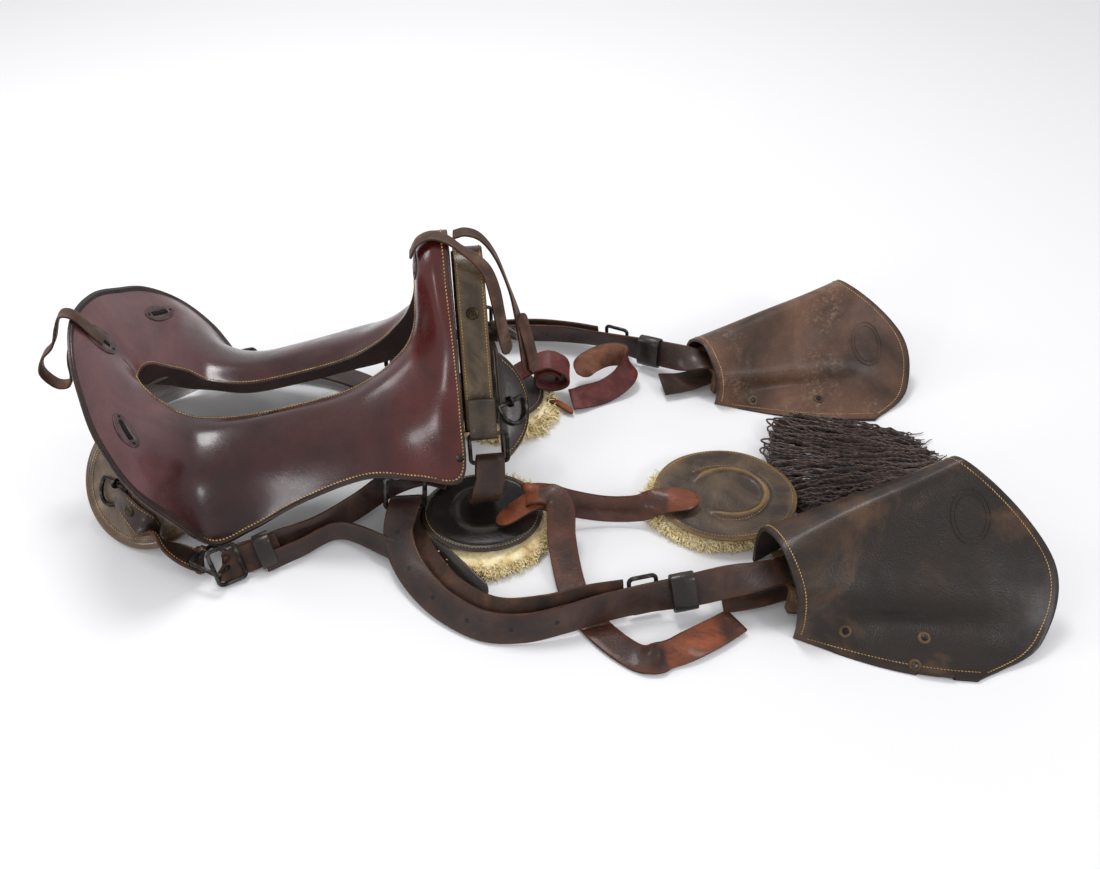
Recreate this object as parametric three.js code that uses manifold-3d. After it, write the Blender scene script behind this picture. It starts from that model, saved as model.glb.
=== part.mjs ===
// A military riding saddle laid down with its tack: an open-slot tree under an oiled leather cover,
// quarter straps, ring safes, girth, stirrup straps and hooded stirrups. Millimetres, +Z up.
// The pommel points along +X, the near (left) side of the saddle is at -Y.
import * as THREE from "three";
import { mergeVertices } from "three/addons/utils/BufferGeometryUtils.js";
import Module from "manifold-3d";

const wasm = await Module();
wasm.setup();

// ---- driving dimensions -------------------------------------------------------------------
const GAP = 0.4; // clearance between pieces that rest on each other
const COVER = 3.0; // thickness of the seat leather
const LINING = 1.2; // thickness of the underside leather
const STRAP_T = 3.6; // thickness of strap leather
const STIRRUP_STRAP_W = 35; // stirrup strap width
const GIRTH_STRAP_W = 32; // quarter strap and latigo width
const COAT_STRAP_W = 16; // coat strap width
const WIRE_R = 2.4; // radius of the ring and buckle wire
const HOOD_T = 4.0; // hood leather thickness
const SADDLE_PLACE = [-280, 25, 0]; // saddle centre in the laid-out set
const SADDLE_YAW = 6.8; // degrees
const SETTLE = [0.7, -11.8, 0]; // shift of the whole set onto its origin

// Half breadth plan of the seat, from the pommel centre round to the cantle centre. Each station
// has the slot edge, two crown points, the outer edge and the foot of the slot wall: x, y, z.
const STATIONS = [
  [[152, 0, 250], [156, 0, 285], [172, 0, 304], [191, 0, 306], [192, 0, 252]],
  [[151, 16, 240], [157, 24, 272], [173, 28, 292], [191, 22, 298], [192, 16, 242]],
  [[148, 26, 216], [158, 38, 240], [174, 50, 256], [192, 55, 248], [192, 27, 218]],
  [[143, 28, 200], [154, 46, 211], [174, 68, 212], [192, 88, 190], [191, 30, 196]],
  [[136, 28, 186], [150, 55, 192], [172, 90, 178], [192, 120, 143], [186, 34, 168]],
  [[124, 28, 171], [138, 60, 176], [163, 112, 148], [187, 154, 88], [160, 38, 134]],
  [[100, 28, 148], [106, 60, 153], [124, 108, 130], [140, 147, 87], [108, 32, 117]],
  [[60, 28, 126], [63, 60, 133], [74, 105, 119], [84, 142, 91], [62, 30, 108]],
  [[0, 28, 110], [2, 58, 121], [6, 104, 103], [10, 143, 64], [0, 30, 94]],
  [[-60, 28, 101], [-58, 60, 110], [-55, 110, 88], [-50, 152, 36], [-60, 30, 85]],
  [[-105, 32, 107], [-103, 70, 112], [-99, 125, 90], [-92, 165, 31], [-106, 36, 89]],
  [[-126, 35, 120], [-127, 80, 126], [-128, 135, 116], [-123, 175, 86], [-132, 38, 92]],
  [[-141, 30, 131], [-142, 80, 140], [-148, 130, 146], [-153, 170, 132], [-150, 34, 102]],
  [[-151, 26, 139], [-154, 65, 146], [-165, 108, 160], [-180, 140, 174], [-164, 28, 110]],
  [[-160, 20, 147], [-166, 45, 160], [-180, 74, 180], [-197, 100, 201], [-176, 20, 118]],
  [[-167, 10, 150], [-175, 24, 170], [-190, 40, 196], [-210, 55, 225], [-184, 10, 122]],
  [[-171, 0, 146], [-180, 0, 172], [-196, 0, 202], [-217, 0, 234], [-188, 0, 122]],
];
const LAST_STATION = STATIONS.length - 1;
const ROWS_PER_SIDE = 26; // lofted rows between the pommel centre and the cantle centre
const TOP_STEPS = 8; // facets across the top of the seat
const UNDER_STEPS = 5; // facets across the underside
const SEAM = 5; // how far the underside leather ends short of the rim and of the slot
const CANTLE_FROM = 11; // station where the cantle starts
const CANTLE_BULGE = 11; // how far the back of the cantle stands out
const POMMEL_ROWS = 7; // lofted rows each side that belong to the pommel arch
const CANTLE_ROWS = 18; // lofted row where the cantle arch begins
const TREE_EASE = 1.6; // room between the wood and the leather stretched over it
const EDGE_EASE = 0.3; // share by which the wood draws in towards the middle of its section
const TREE_JOINT = 0.2; // share of a row by which the ends of the tree pieces are eased

// ---- materials ----------------------------------------------------------------------------
function finish(color, roughness, metalness = 0) {
  return new THREE.MeshStandardMaterial({ color, roughness, metalness });
}
const SEAT_LEATHER = finish(0x5a2e30, 0.35);
const UNDER_LEATHER = finish(0x3a2622, 0.6);
const SKIRT_LEATHER = finish(0x4a4038, 0.5);
const STRAP_LEATHER = finish(0x3f2a22, 0.55);
const LATIGO_LEATHER = finish(0x7a3f24, 0.6);
const HOOD_LEATHER = finish(0x40352c, 0.6);
const BLACK_LEATHER = finish(0x1c1a19, 0.5);
const ASH_WOOD = finish(0xa9895c, 0.7);
const IRON = finish(0x2c2b2a, 0.45, 0.9);
const FLEECE = finish(0xd8c79a, 0.95);
const MOHAIR = finish(0x2e2120, 0.9);

// ---- solids -------------------------------------------------------------------------------
const vec = (p) => new THREE.Vector3(p[0], p[1], p[2]);
const degrees = THREE.MathUtils.degToRad;

// Catmull-Rom value between b and c, for numbers or vectors alike.
function between(a, b, c, d, t) {
  const out = b.clone().multiplyScalar(2);
  out.addScaledVector(c.clone().sub(a), t);
  const bend = a.clone().multiplyScalar(2).addScaledVector(b, -5).addScaledVector(c, 4).sub(d);
  out.addScaledVector(bend, t * t);
  const twist = b.clone().multiplyScalar(3).addScaledVector(c, -3).add(d).sub(a);
  return out.addScaledVector(twist, t * t * t).multiplyScalar(0.5);
}

// A point on an open curve through the given points, t from 0 to 1.
function along(points, t) {
  const last = points.length - 1;
  const at = Math.min(t * last, last - 1e-9);
  const i = Math.floor(at);
  const before = i > 0 ? points[i - 1] : points[0].clone().multiplyScalar(2).sub(points[1]);
  const beyond = points[last].clone().multiplyScalar(2).sub(points[last - 1]);
  const after = i + 2 <= last ? points[i + 2] : beyond;
  return between(before, points[i], points[i + 1], after, at - i);
}

// A closed body from vertices and triangles, turned so that its faces point out.
function body(vertices, triangles) {
  let volume = 0;
  for (const [a, b, c] of triangles) {
    volume += vertices[a].dot(vertices[b].clone().cross(vertices[c]));
  }
  const turned = volume < 0 ? triangles.map(([a, b, c]) => [a, c, b]) : triangles;
  const geometry = new THREE.BufferGeometry();
  const flat = vertices.flatMap((p) => [p.x, p.y, p.z]);
  geometry.setAttribute("position", new THREE.Float32BufferAttribute(flat, 3));
  geometry.setIndex(turned.flat());
  return geometry;
}

// Two triangles for each cell of a grid of rows; the grid may close in either direction.
function gridFaces(rows, columns, closeRows, closeColumns, first = 0) {
  const faces = [];
  const rowEnd = closeRows ? rows : rows - 1;
  const columnEnd = closeColumns ? columns : columns - 1;
  for (let r = 0; r < rowEnd; r++) {
    for (let c = 0; c < columnEnd; c++) {
      const a = first + r * columns + c;
      const b = first + r * columns + ((c + 1) % columns);
      const d = first + ((r + 1) % rows) * columns + c;
      const e = first + ((r + 1) % rows) * columns + ((c + 1) % columns);
      faces.push([a, b, e], [a, e, d]);
    }
  }
  return faces;
}

// A solid lofted through closed rings of points; with closed true the rings meet end to end.
function loft(rings, closed = false) {
  const count = rings[0].length;
  const vertices = rings.flat().map((p) => p.clone());
  const faces = gridFaces(rings.length, count, closed, true);
  if (!closed) {
    for (const end of [0, rings.length - 1]) {
      const centre = new THREE.Vector3();
      rings[end].forEach((p) => centre.addScaledVector(p, 1 / count));
      const hub = vertices.push(centre) - 1;
      for (let k = 0; k < count; k++) {
        const a = end * count + k;
        const b = end * count + ((k + 1) % count);
        faces.push(end === 0 ? [hub, b, a] : [hub, a, b]);
      }
    }
  }
  return body(vertices, faces);
}

// A shell between an outer and an inner grid of the same size, rows closing if asked.
function shell(outer, inner, closeRows) {
  const rows = outer.length;
  const columns = outer[0].length;
  const rings = outer.map((row, r) => [...row, ...[...inner[r]].reverse()]);
  if (closeRows) return loft(rings, true);
  const vertices = rings.flat();
  const faces = gridFaces(rows, 2 * columns, false, true);
  for (const end of [0, rows - 1]) {
    const first = end * 2 * columns;
    for (let c = 0; c < columns - 1; c++) {
      const a = first + c;
      const b = first + c + 1;
      const d = first + 2 * columns - 1 - c;
      const e = first + 2 * columns - 2 - c;
      faces.push(...(end === 0 ? [[a, e, b], [a, d, e]] : [[a, b, e], [a, e, d]]));
    }
  }
  return body(vertices, faces);
}

// Surface normals of a grid, pointing away from the side where the hint says inside is.
function gridNormals(grid, closeRows, closeColumns, insideAt) {
  const rows = grid.length;
  return grid.map((row, r) => {
    const columns = row.length;
    return row.map((p, c) => {
      const up = closeRows ? grid[(r + 1) % rows][c] : grid[Math.min(r + 1, rows - 1)][c];
      const down = closeRows ? grid[(r + rows - 1) % rows][c] : grid[Math.max(r - 1, 0)][c];
      const right = closeColumns ? row[(c + 1) % columns] : row[Math.min(c + 1, columns - 1)];
      const left = closeColumns ? row[(c + columns - 1) % columns] : row[Math.max(c - 1, 0)];
      const normal = up.clone().sub(down).cross(right.clone().sub(left)).normalize();
      return normal.dot(p.clone().sub(insideAt(r, c))) < 0 ? normal.negate() : normal;
    });
  });
}

// The grid moved along its normals.
function offset(grid, normals, distance) {
  return grid.map((row, r) => row.map((p, c) => p.clone().addScaledVector(normals[r][c], distance)));
}

// A flat strap along a route. Each stop has a place and the direction of the strap's width there.
function strap(stops, width, steps, thickness = STRAP_T) {
  const places = stops.map((s) => vec(s[0]));
  const widths = stops.map((s) => vec(s[1]));
  const rings = [];
  for (let k = 0; k <= steps; k++) {
    const t = k / steps;
    const here = along(places, t);
    const ahead = along(places, Math.min(t + 0.002, 1));
    const behind = along(places, Math.max(t - 0.002, 0));
    const way = ahead.sub(behind).normalize();
    const across = along(widths, t);
    across.addScaledVector(way, -across.dot(way)).normalize();
    const face = way.clone().cross(across);
    const corners = [[1, 1], [-1, 1], [-1, -1], [1, -1]];
    rings.push(corners.map(([w, h]) => here.clone()
      .addScaledVector(across, (w * width) / 2)
      .addScaledVector(face, (h * thickness) / 2)));
  }
  return loft(rings);
}

// Round wire along a planar closed or open route; normal is the direction square to its plane.
function wire(route, normal, radius, sides, closed) {
  const rings = route.map((p, k) => {
    const n = route.length;
    const ahead = closed ? route[(k + 1) % n] : route[Math.min(k + 1, n - 1)];
    const behind = closed ? route[(k + n - 1) % n] : route[Math.max(k - 1, 0)];
    const way = ahead.clone().sub(behind).normalize();
    const side = way.clone().cross(normal).normalize();
    return Array.from({ length: sides }, (_, s) => {
      const angle = (2 * Math.PI * s) / sides;
      return p.clone()
        .addScaledVector(side, radius * Math.cos(angle))
        .addScaledVector(normal, radius * Math.sin(angle));
    });
  });
  return loft(rings, closed);
}

// Turns a closed geometry into a solid that can be cut.
function solid(geometry) {
  const bare = geometry.clone();
  bare.deleteAttribute("normal");
  bare.deleteAttribute("uv");
  const merged = mergeVertices(bare, 1e-4);
  return new wasm.Manifold(new wasm.Mesh({
    numProp: 3,
    vertProperties: new Float32Array(merged.attributes.position.array),
    triVerts: new Uint32Array(merged.index.array),
  }));
}

function fromSolid(cut) {
  const mesh = cut.getMesh();
  const geometry = new THREE.BufferGeometry();
  geometry.setAttribute("position", new THREE.BufferAttribute(mesh.vertProperties, 3));
  geometry.setIndex(new THREE.BufferAttribute(mesh.triVerts, 1));
  return geometry;
}

// The biggest body of a solid that a cut has left in several pieces.
function largest(cut) {
  return cut.decompose().reduce((best, part) => (part.volume() > best.volume() ? part : best));
}

const cutAway = (geometry, ...tools) =>
  fromSolid(tools.reduce((rest, tool) => rest.subtract(tool), solid(geometry)));

function node(name, geometry, material, parent) {
  const mesh = new THREE.Mesh(geometry, material);
  mesh.name = name;
  parent.add(mesh);
  return mesh;
}

// Mirrors a route or a point from the near side to the far side of the saddle.
const mirror = (p) => [p[0], -p[1], p[2]];
const mirrorStops = (stops) => stops.map(([place, width]) => [mirror(place), mirror(width)]);

// ---- the groups ---------------------------------------------------------------------------
const set = new THREE.Group();
set.position.set(...SETTLE);
const saddle = new THREE.Group();
saddle.position.set(...SADDLE_PLACE);
saddle.rotation.z = degrees(SADDLE_YAW);
set.add(saddle);

// ---- tree and cover -----------------------------------------------------------------------
// A station with its breadth on one side; station numbers past either end mirror back.
function station(number, side) {
  const over = number < 0 || number > LAST_STATION;
  const folded = number < 0 ? -number : LAST_STATION * 2 - number;
  const points = STATIONS[over ? folded : number];
  const sign = over ? -side : side;
  return points.map(([x, y, z]) => new THREE.Vector3(x, sign * y, z));
}

// The closed cross-section at a fractional station: over the top, back under, up the slot wall.
function section(at, side) {
  const i = Math.min(Math.floor(at), LAST_STATION - 1);
  const four = [i - 1, i, i + 1, i + 2].map((n) => station(n, side));
  const rails = four[0].map((_, k) => between(four[0][k], four[1][k], four[2][k], four[3][k], at - i));
  const [edge, crownIn, crownOut, rim, foot] = rails;
  const top = [];
  for (let k = 0; k <= TOP_STEPS; k++) top.push(along([edge, crownIn, crownOut, rim], k / TOP_STEPS));
  const middle = rim.clone().add(foot).multiplyScalar(0.5);
  const crown = crownIn.clone().add(crownOut).multiplyScalar(0.5);
  const swell = THREE.MathUtils.smoothstep(at, CANTLE_FROM, CANTLE_FROM + 3) * CANTLE_BULGE;
  middle.addScaledVector(middle.clone().sub(crown).normalize(), swell);
  const under = [];
  for (let k = 1; k < UNDER_STEPS; k++) under.push(along([rim, middle, foot], k / UNDER_STEPS));
  const wall = foot.clone().add(edge).multiplyScalar(0.5);
  return [...top, ...under, foot, wall];
}

const ringRows = [];
for (let k = 0; k < 2 * ROWS_PER_SIDE; k++) {
  const near = k <= ROWS_PER_SIDE;
  const count = near ? k : 2 * ROWS_PER_SIDE - k;
  ringRows.push(section((count * LAST_STATION) / ROWS_PER_SIDE, near ? -1 : 1));
}
const rowCentres = ringRows.map((row) => {
  const centre = new THREE.Vector3();
  row.forEach((p) => centre.addScaledVector(p, 1 / row.length));
  return centre;
});
const ringNormals = gridNormals(ringRows, true, true, (r) => rowCentres[r]);
const innerSkin = offset(ringRows, ringNormals, -COVER);
// The wood stands clear of the leather, most of all where the section thins to an edge.
const coreSkin = offset(ringRows, ringNormals, -COVER - TREE_EASE).map((row, r) =>
  row.map((p) => p.lerp(rowCentres[r], EDGE_EASE)));
const envelope = solid(loft(offset(ringRows, ringNormals, GAP), true));

// Points of each row from one column to another, ends drawn in by the clearance.
function columns(grid, from, to, drawIn) {
  return grid.map((row) => {
    const ring = [...row, row[0]];
    const part = ring.slice(from, to + 1).map((p) => p.clone());
    const last = part.length - 1;
    const startWay = part[1].clone().sub(part[0]).normalize();
    const endWay = part[last - 1].clone().sub(part[last]).normalize();
    part[0].addScaledVector(startWay, drawIn);
    part[last].addScaledVector(endWay, drawIn);
    return part;
  });
}
const ringSize = ringRows[0].length;
const coverPart = (inner, from, to, drawIn) =>
  shell(columns(ringRows, from, to, drawIn), columns(inner, from, to, drawIn), true);
node("seat_cover", coverPart(innerSkin, 0, TOP_STEPS, 0), SEAT_LEATHER, saddle);

// The seat cover with the clearance that the wood keeps from its inner face.
const roomSkin = offset(ringRows, ringNormals, -COVER - 2 * GAP);
const coverRoom = solid(coverPart(roomSkin, 0, TOP_STEPS, 0));
const lining = offset(ringRows, ringNormals, -LINING);
node("underside_cover", coverPart(lining, TOP_STEPS, ringSize, SEAM), UNDER_LEATHER, saddle);

// A length of the wooden tree between two lofted rows, its ends drawn in by the clearance.
function treePiece(name, from, to) {
  const total = ringRows.length;
  const rings = [];
  // Reversed, so that its facets are split the same way as the inside of the cover.
  for (let k = from; k <= to; k++) rings.push([...coreSkin[(k + total) % total]].reverse());
  const last = rings.length - 1;
  rings[0] = rings[0].map((p, c) => p.clone().lerp(rings[1][c], TREE_JOINT));
  rings[last] = rings[last].map((p, c) => p.clone().lerp(rings[last - 1][c], TREE_JOINT));
  node(name, fromSolid(largest(solid(loft(rings)).subtract(coverRoom))), ASH_WOOD, saddle);
}
treePiece("pommel_arch", -POMMEL_ROWS, POMMEL_ROWS);
treePiece("side_bar_near", POMMEL_ROWS, CANTLE_ROWS);
treePiece("cantle_arch", CANTLE_ROWS, 2 * ROWS_PER_SIDE - CANTLE_ROWS);
treePiece("side_bar_far", 2 * ROWS_PER_SIDE - CANTLE_ROWS, 2 * ROWS_PER_SIDE - POMMEL_ROWS);

// ---- pommel facing: the dark arch in front of the seat cover, and the strap over it ---------
const FACING_X = 194;
const FACING_DEPTH = 33;
const FACING_OUT = [[0, 280], [20, 273], [42, 251], [60, 217], [80, 181], [100, 146], [112, 122]];
const FACING_IN = [[84, 118], [52, 150], [36, 185], [28, 216], [17, 238], [0, 247]];
const outlineVector = ([y, z]) => new THREE.Vector2(y, z);

function facingShape() {
  const right = FACING_OUT.map(outlineVector);
  const left = FACING_OUT.slice(1).reverse().map(([y, z]) => new THREE.Vector2(-y, z));
  const innerLeft = FACING_IN.slice(0, -1).map(([y, z]) => new THREE.Vector2(-y, z));
  const innerRight = FACING_IN.slice().reverse().map(outlineVector);
  const outer = new THREE.SplineCurve([...left, ...right]).getPoints(24);
  const inner = new THREE.SplineCurve([...innerRight.reverse(), ...innerLeft.reverse()]).getPoints(20);
  return new THREE.Shape([...outer, ...inner]);
}
// The shape is drawn in y and z, so it is turned to stand across the saddle.
function standAcross(geometry, x) {
  geometry.applyMatrix4(new THREE.Matrix4().makeBasis(
    new THREE.Vector3(0, 1, 0), new THREE.Vector3(0, 0, 1), new THREE.Vector3(1, 0, 0)));
  return geometry.translate(x, 0, 0);
}
const facing = standAcross(
  new THREE.ExtrudeGeometry(facingShape(), { depth: FACING_DEPTH, bevelEnabled: false }), FACING_X);

// ---- skirts: rounded leather ends of the side bars ------------------------------------------
const SKIRT_T = 7;
const REAR_SKIRT = { centre: [-172, -84, 64.5], radius: 80, normal: [-0.35, -0.66, 0.67], reach: 62 };
const FRONT_SKIRT = { centre: [200, -84, 134], radius: 75, normal: [0.35, -0.66, 0.67], reach: -38 };

// Axes in the plane of a skirt: the first runs out along the saddle, the second down and out.
function skirtFrame(skirt, side) {
  const mirrorY = side === "far" ? -1 : 1;
  const [nx, ny, nz] = skirt.normal;
  const normal = new THREE.Vector3(nx, mirrorY * ny, nz).normalize();
  const outward = new THREE.Vector3(Math.sign(nx), 0, 0);
  outward.addScaledVector(normal, -outward.dot(normal)).normalize();
  const down = normal.clone().cross(outward).normalize();
  if (down.z > 0) down.negate();
  const [x, y, z] = skirt.centre;
  return { origin: new THREE.Vector3(x, mirrorY * y, z), outward, down, normal };
}
// A point of a skirt at distances out, down and proud of its outer face.
function onSkirt(frame, out, down, proud = 0) {
  return frame.origin.clone()
    .addScaledVector(frame.outward, out)
    .addScaledVector(frame.down, down)
    .addScaledVector(frame.normal, proud);
}
function skirtSolid(skirt, side) {
  const frame = skirtFrame(skirt, side);
  const shapePoints = [];
  const steps = 22;
  const half = Math.acos(-skirt.reach / skirt.radius);
  for (let k = 0; k <= steps; k++) {
    const angle = -half + (2 * half * k) / steps;
    shapePoints.push([skirt.radius * Math.cos(angle), skirt.radius * Math.sin(angle)]);
  }
  const faces = [0, -SKIRT_T].map((h) => shapePoints.map(([o, d]) => onSkirt(frame, o, d, h)));
  return loft(faces);
}
const skirts = {};
for (const side of ["near", "far"]) {
  skirts[`rear_${side}`] = skirtFrame(REAR_SKIRT, side);
  skirts[`front_${side}`] = skirtFrame(FRONT_SKIRT, side);
  node(`rear_skirt_${side}`, cutAway(skirtSolid(REAR_SKIRT, side), envelope), SKIRT_LEATHER, saddle);
  const front = skirtSolid(FRONT_SKIRT, side);
  node(`front_skirt_${side}`, cutAway(front, envelope), SKIRT_LEATHER, saddle);
}
node("pommel_facing", facing, BLACK_LEATHER, saddle);

// ---- cantle plates and pommel shield: slotted iron mortise plates ---------------------------
const PLATE_T = 1.6;
const PLATES = [
  { name: "cantle_plate_near", row: 21, column: 5.1, length: 46, width: 22, turn: 0 },
  { name: "cantle_plate_far", row: 31, column: 5.1, length: 46, width: 22, turn: 0 },
  { name: "cantle_plate_centre", row: 26, column: 5.3, length: 42, width: 30, turn: 90 },
  { name: "pommel_shield", row: 0, column: 1.6, length: 40, width: 30, turn: 0 },
];
const SLOT_SHARE = 0.56; // slot length as a share of its plate's length
const SLOT_W = 6;

// A point of the cover at fractional row and column, lifted off the surface.
function onCover(row, column, lift) {
  const total = ringRows.length;
  const r = (Math.floor(row) + total) % total;
  const c = Math.floor(column);
  const pick = (grid) => {
    const low = grid[r][c].clone().lerp(grid[r][c + 1], column - c);
    const high = grid[(r + 1) % total][c].clone().lerp(grid[(r + 1) % total][c + 1], column - c);
    return low.lerp(high, row - Math.floor(row));
  };
  return pick(ringRows).addScaledVector(pick(ringNormals).normalize(), lift);
}
function plateSolid({ row, column, length, width, turn }) {
  const at = onCover(row, column, GAP);
  const normal = onCover(row, column, 1).sub(onCover(row, column, 0)).normalize();
  const way = onCover(row + 0.4, column, 0).sub(onCover(row - 0.4, column, 0));
  const x = way.addScaledVector(normal, -way.dot(normal)).normalize();
  const y = normal.clone().cross(x);
  const oval = new THREE.Shape();
  oval.absellipse(0, 0, length / 2, width / 2, 0, 2 * Math.PI);
  const slot = new THREE.Path();
  const half = (length * SLOT_SHARE) / 2;
  slot.moveTo(-half, -SLOT_W / 2).lineTo(half, -SLOT_W / 2);
  slot.lineTo(half, SLOT_W / 2).lineTo(-half, SLOT_W / 2);
  oval.holes.push(slot);
  const plate = new THREE.ExtrudeGeometry(oval, { depth: 5, bevelEnabled: false, curveSegments: 8 });
  plate.rotateZ(degrees(turn)).translate(0, 0, -3);
  plate.applyMatrix4(new THREE.Matrix4().makeBasis(x, y, normal).setPosition(at));
  return plate;
}
const plateTop = solid(loft(offset(ringRows, ringNormals, GAP + PLATE_T), true));
for (const plate of PLATES) {
  const shaped = solid(plateSolid(plate)).intersect(plateTop).subtract(envelope);
  node(plate.name, fromSolid(shaped), IRON, saddle);
}

// ---- saddle rings: iron D rings in staples on the skirts --------------------------------------
const D_RING_W = 34; // across the straight bar
const D_RING_REACH = 26; // from the bar to the far side of the bow
const D_RINGS = [
  { name: "rear", out: 34, down: 2, turn: 60 },
  { name: "front", out: 50, down: -4, turn: -70 },
];
const STAPLE_R = 1.8;

// The D shape about its bar: the bar lies along y, the bow stands out along x.
function dRoute() {
  const route = [];
  const half = D_RING_W / 2;
  for (let k = 0; k <= 10; k++) {
    const angle = -Math.PI / 2 + (Math.PI * k) / 10;
    route.push(new THREE.Vector3(D_RING_REACH * Math.cos(angle), half * Math.sin(angle), 0));
  }
  return route;
}
const UP = new THREE.Vector3(0, 0, 1);
function stapleRoute() {
  const route = [];
  const radius = WIRE_R + STAPLE_R + GAP;
  const foot = WIRE_R + STAPLE_R + GAP;
  route.push(new THREE.Vector3(-radius, 0, -foot));
  for (let k = 0; k <= 6; k++) {
    const angle = Math.PI - (Math.PI * k) / 6;
    route.push(new THREE.Vector3(radius * Math.cos(angle), 0, radius * Math.sin(angle)));
  }
  route.push(new THREE.Vector3(radius, 0, -foot));
  return route;
}
for (const side of ["near", "far"]) {
  for (const ring of D_RINGS) {
    const frame = skirts[`${ring.name}_${side}`];
    const swing = degrees(side === "far" ? -ring.turn : ring.turn);
    const lift = STAPLE_R + WIRE_R + 2 * GAP;
    const place = onSkirt(frame, ring.out, ring.down, lift);
    const x = frame.outward.clone().applyAxisAngle(frame.normal, swing);
    const y = frame.normal.clone().cross(x);
    const at = new THREE.Matrix4().makeBasis(x, y, frame.normal).setPosition(place);
    const bow = wire(dRoute(), UP, WIRE_R, 6, true).applyMatrix4(at);
    node(`saddle_ring_${ring.name}_${side}`, bow, IRON, saddle);
    const hoop = wire(stapleRoute(), new THREE.Vector3(0, 1, 0), STAPLE_R, 6, false);
    node(`ring_staple_${ring.name}_${side}`, hoop.applyMatrix4(at), IRON, saddle);
  }
}

// ---- rings, buckles and loops of wire -------------------------------------------------------
// A rectangular ring with cut corners about its centre, lying in the plane of the two ways.
function ringSolid(centre, wayA, wayB, lengthA, lengthB, radius = WIRE_R) {
  const a = vec(wayA).normalize();
  const b = vec(wayB).addScaledVector(a, -vec(wayB).dot(a)).normalize();
  const corner = 4;
  const route = [];
  for (const [sa, sb] of [[1, 1], [-1, 1], [-1, -1], [1, -1]]) {
    const cuts = sa === sb ? [[0, corner], [corner, 0]] : [[corner, 0], [0, corner]];
    for (const [da, db] of cuts) {
      route.push(vec(centre)
        .addScaledVector(a, sa * (lengthA / 2 - da))
        .addScaledVector(b, sb * (lengthB / 2 - db)));
    }
  }
  return wire(route, a.clone().cross(b).normalize(), radius, 6, true);
}
const RING_W = 42; // quarter ring across the strap, wire centre to wire centre
const RING_H = 36; // quarter ring along the strap
const LOOP_R = 2.8; // wire radius of the stirrup loops
const FRONT_RING = { centre: [219, -124, 107], across: [1, 0, 0], along: [0, 0.25, 0.97] };
const REAR_RING = { centre: [-92, -176, 20], across: [0.35, 0.75, -0.3], along: [0.85, -0.42, -0.2] };
const LOOP = { centre: [121, -128, 51], across: [1, 0, -0.1], along: [0, -0.1, -1] };
const sides = [["near", (p) => p], ["far", mirror]];
for (const [side, flip] of sides) {
  for (const [end, ring] of [["front", FRONT_RING], ["rear", REAR_RING]]) {
    node(`quarter_ring_${end}_${side}`,
      ringSolid(flip(ring.centre), flip(ring.across), flip(ring.along), RING_W, RING_H), IRON, saddle);
  }
  node(`stirrup_loop_${side}`,
    ringSolid(flip(LOOP.centre), flip(LOOP.across), flip(LOOP.along), 44, 44, LOOP_R), IRON, saddle);
}

// ---- quarter straps fixed to the tree -------------------------------------------------------
const FORWARD = [1, 0, 0];
const POMMEL_STRAP_X = FACING_X + 18;
const STRAP_LIFT = GAP + STRAP_T / 2 + 0.3;
function pommelStrapStops() {
  const outline = new THREE.SplineCurve([
    ...FACING_OUT.slice(1).reverse().map(([y, z]) => new THREE.Vector2(-y, z)),
    ...FACING_OUT.map(outlineVector),
  ]);
  const stops = [];
  const count = 18;
  for (let k = 0; k <= count; k++) {
    const t = 0.01 + (0.98 * k) / count;
    const p = outline.getPoint(t);
    const way = outline.getTangent(t);
    stops.push([[POMMEL_STRAP_X, p.x - way.y * STRAP_LIFT, p.y + way.x * STRAP_LIFT], FORWARD]);
  }
  return stops;
}
node("pommel_strap", strap(pommelStrapStops(), GIRTH_STRAP_W, 36), STRAP_LEATHER, saddle);

const CANTLE_STRAP = [
  [[-172, -112, 60], [0.62, -0.42, -0.3]],
  [[-150, -128, 46], [0.62, -0.42, -0.3]],
  [[-128, -146, 36], [0.5, 0.1, -0.3]],
  [[-112, -158, 33], [0.35, 0.75, -0.3]],
];
for (const [side, flip] of sides) {
  const stops = CANTLE_STRAP.map(([place, width]) => [flip(place), flip(width)]);
  const clear = skirts[`rear_${side}`].normal.clone().multiplyScalar(GAP);
  const skirt = solid(skirtSolid(REAR_SKIRT, side));
  const lifted = solid(skirtSolid(REAR_SKIRT, side).translate(...clear));
  const cut = solid(strap(stops, GIRTH_STRAP_W, 10)).subtract(envelope).subtract(lifted).subtract(skirt);
  node(`cantle_strap_${side}`, fromSolid(largest(cut)), STRAP_LEATHER, saddle);
}

// ---- coat straps ----------------------------------------------------------------------------
const ACROSS = [0, 1, 0];
const COAT_STRAPS = {
  coat_strap_pommel: [[151, -4, 287], [160, -5, 303], [175, -8, 311], [191, -15, 309], [205, -22, 301],
    [219, -28, 292], [231, -32, 277], [238, -35, 252], [242, -35, 222], [246, -32, 190], [251, -28, 163]],
  coat_strap_pommel_end: [[198, 14, 297], [212, 13, 300], [228, 11, 293], [243, 8, 270], [256, 5, 230],
    [265, 3, 190], [271, 2, 150], [275, 2, 120], [281, 2, 113], [282, 2, 125], [276, 2, 158],
    [268, 2, 195]],
  coat_strap_cantle: [[-193, -2, 201], [-203, -2, 218], [-214, -2, 237], [-226, -2, 240], [-235, -2, 226],
    [-246, -2, 202], [-262, -2, 186], [-270, -2, 166], [-260, -2, 147], [-246, -2, 146],
    [-239, -2, 160], [-236, -2, 178], [-231, -2, 196]],
};
for (const [name, places] of Object.entries(COAT_STRAPS)) {
  const stops = places.map((place) => [place, ACROSS]);
  node(name, cutAway(strap(stops, COAT_STRAP_W, 2 * places.length, 2.6), envelope, plateTop),
    STRAP_LEATHER, saddle);
}

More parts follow.
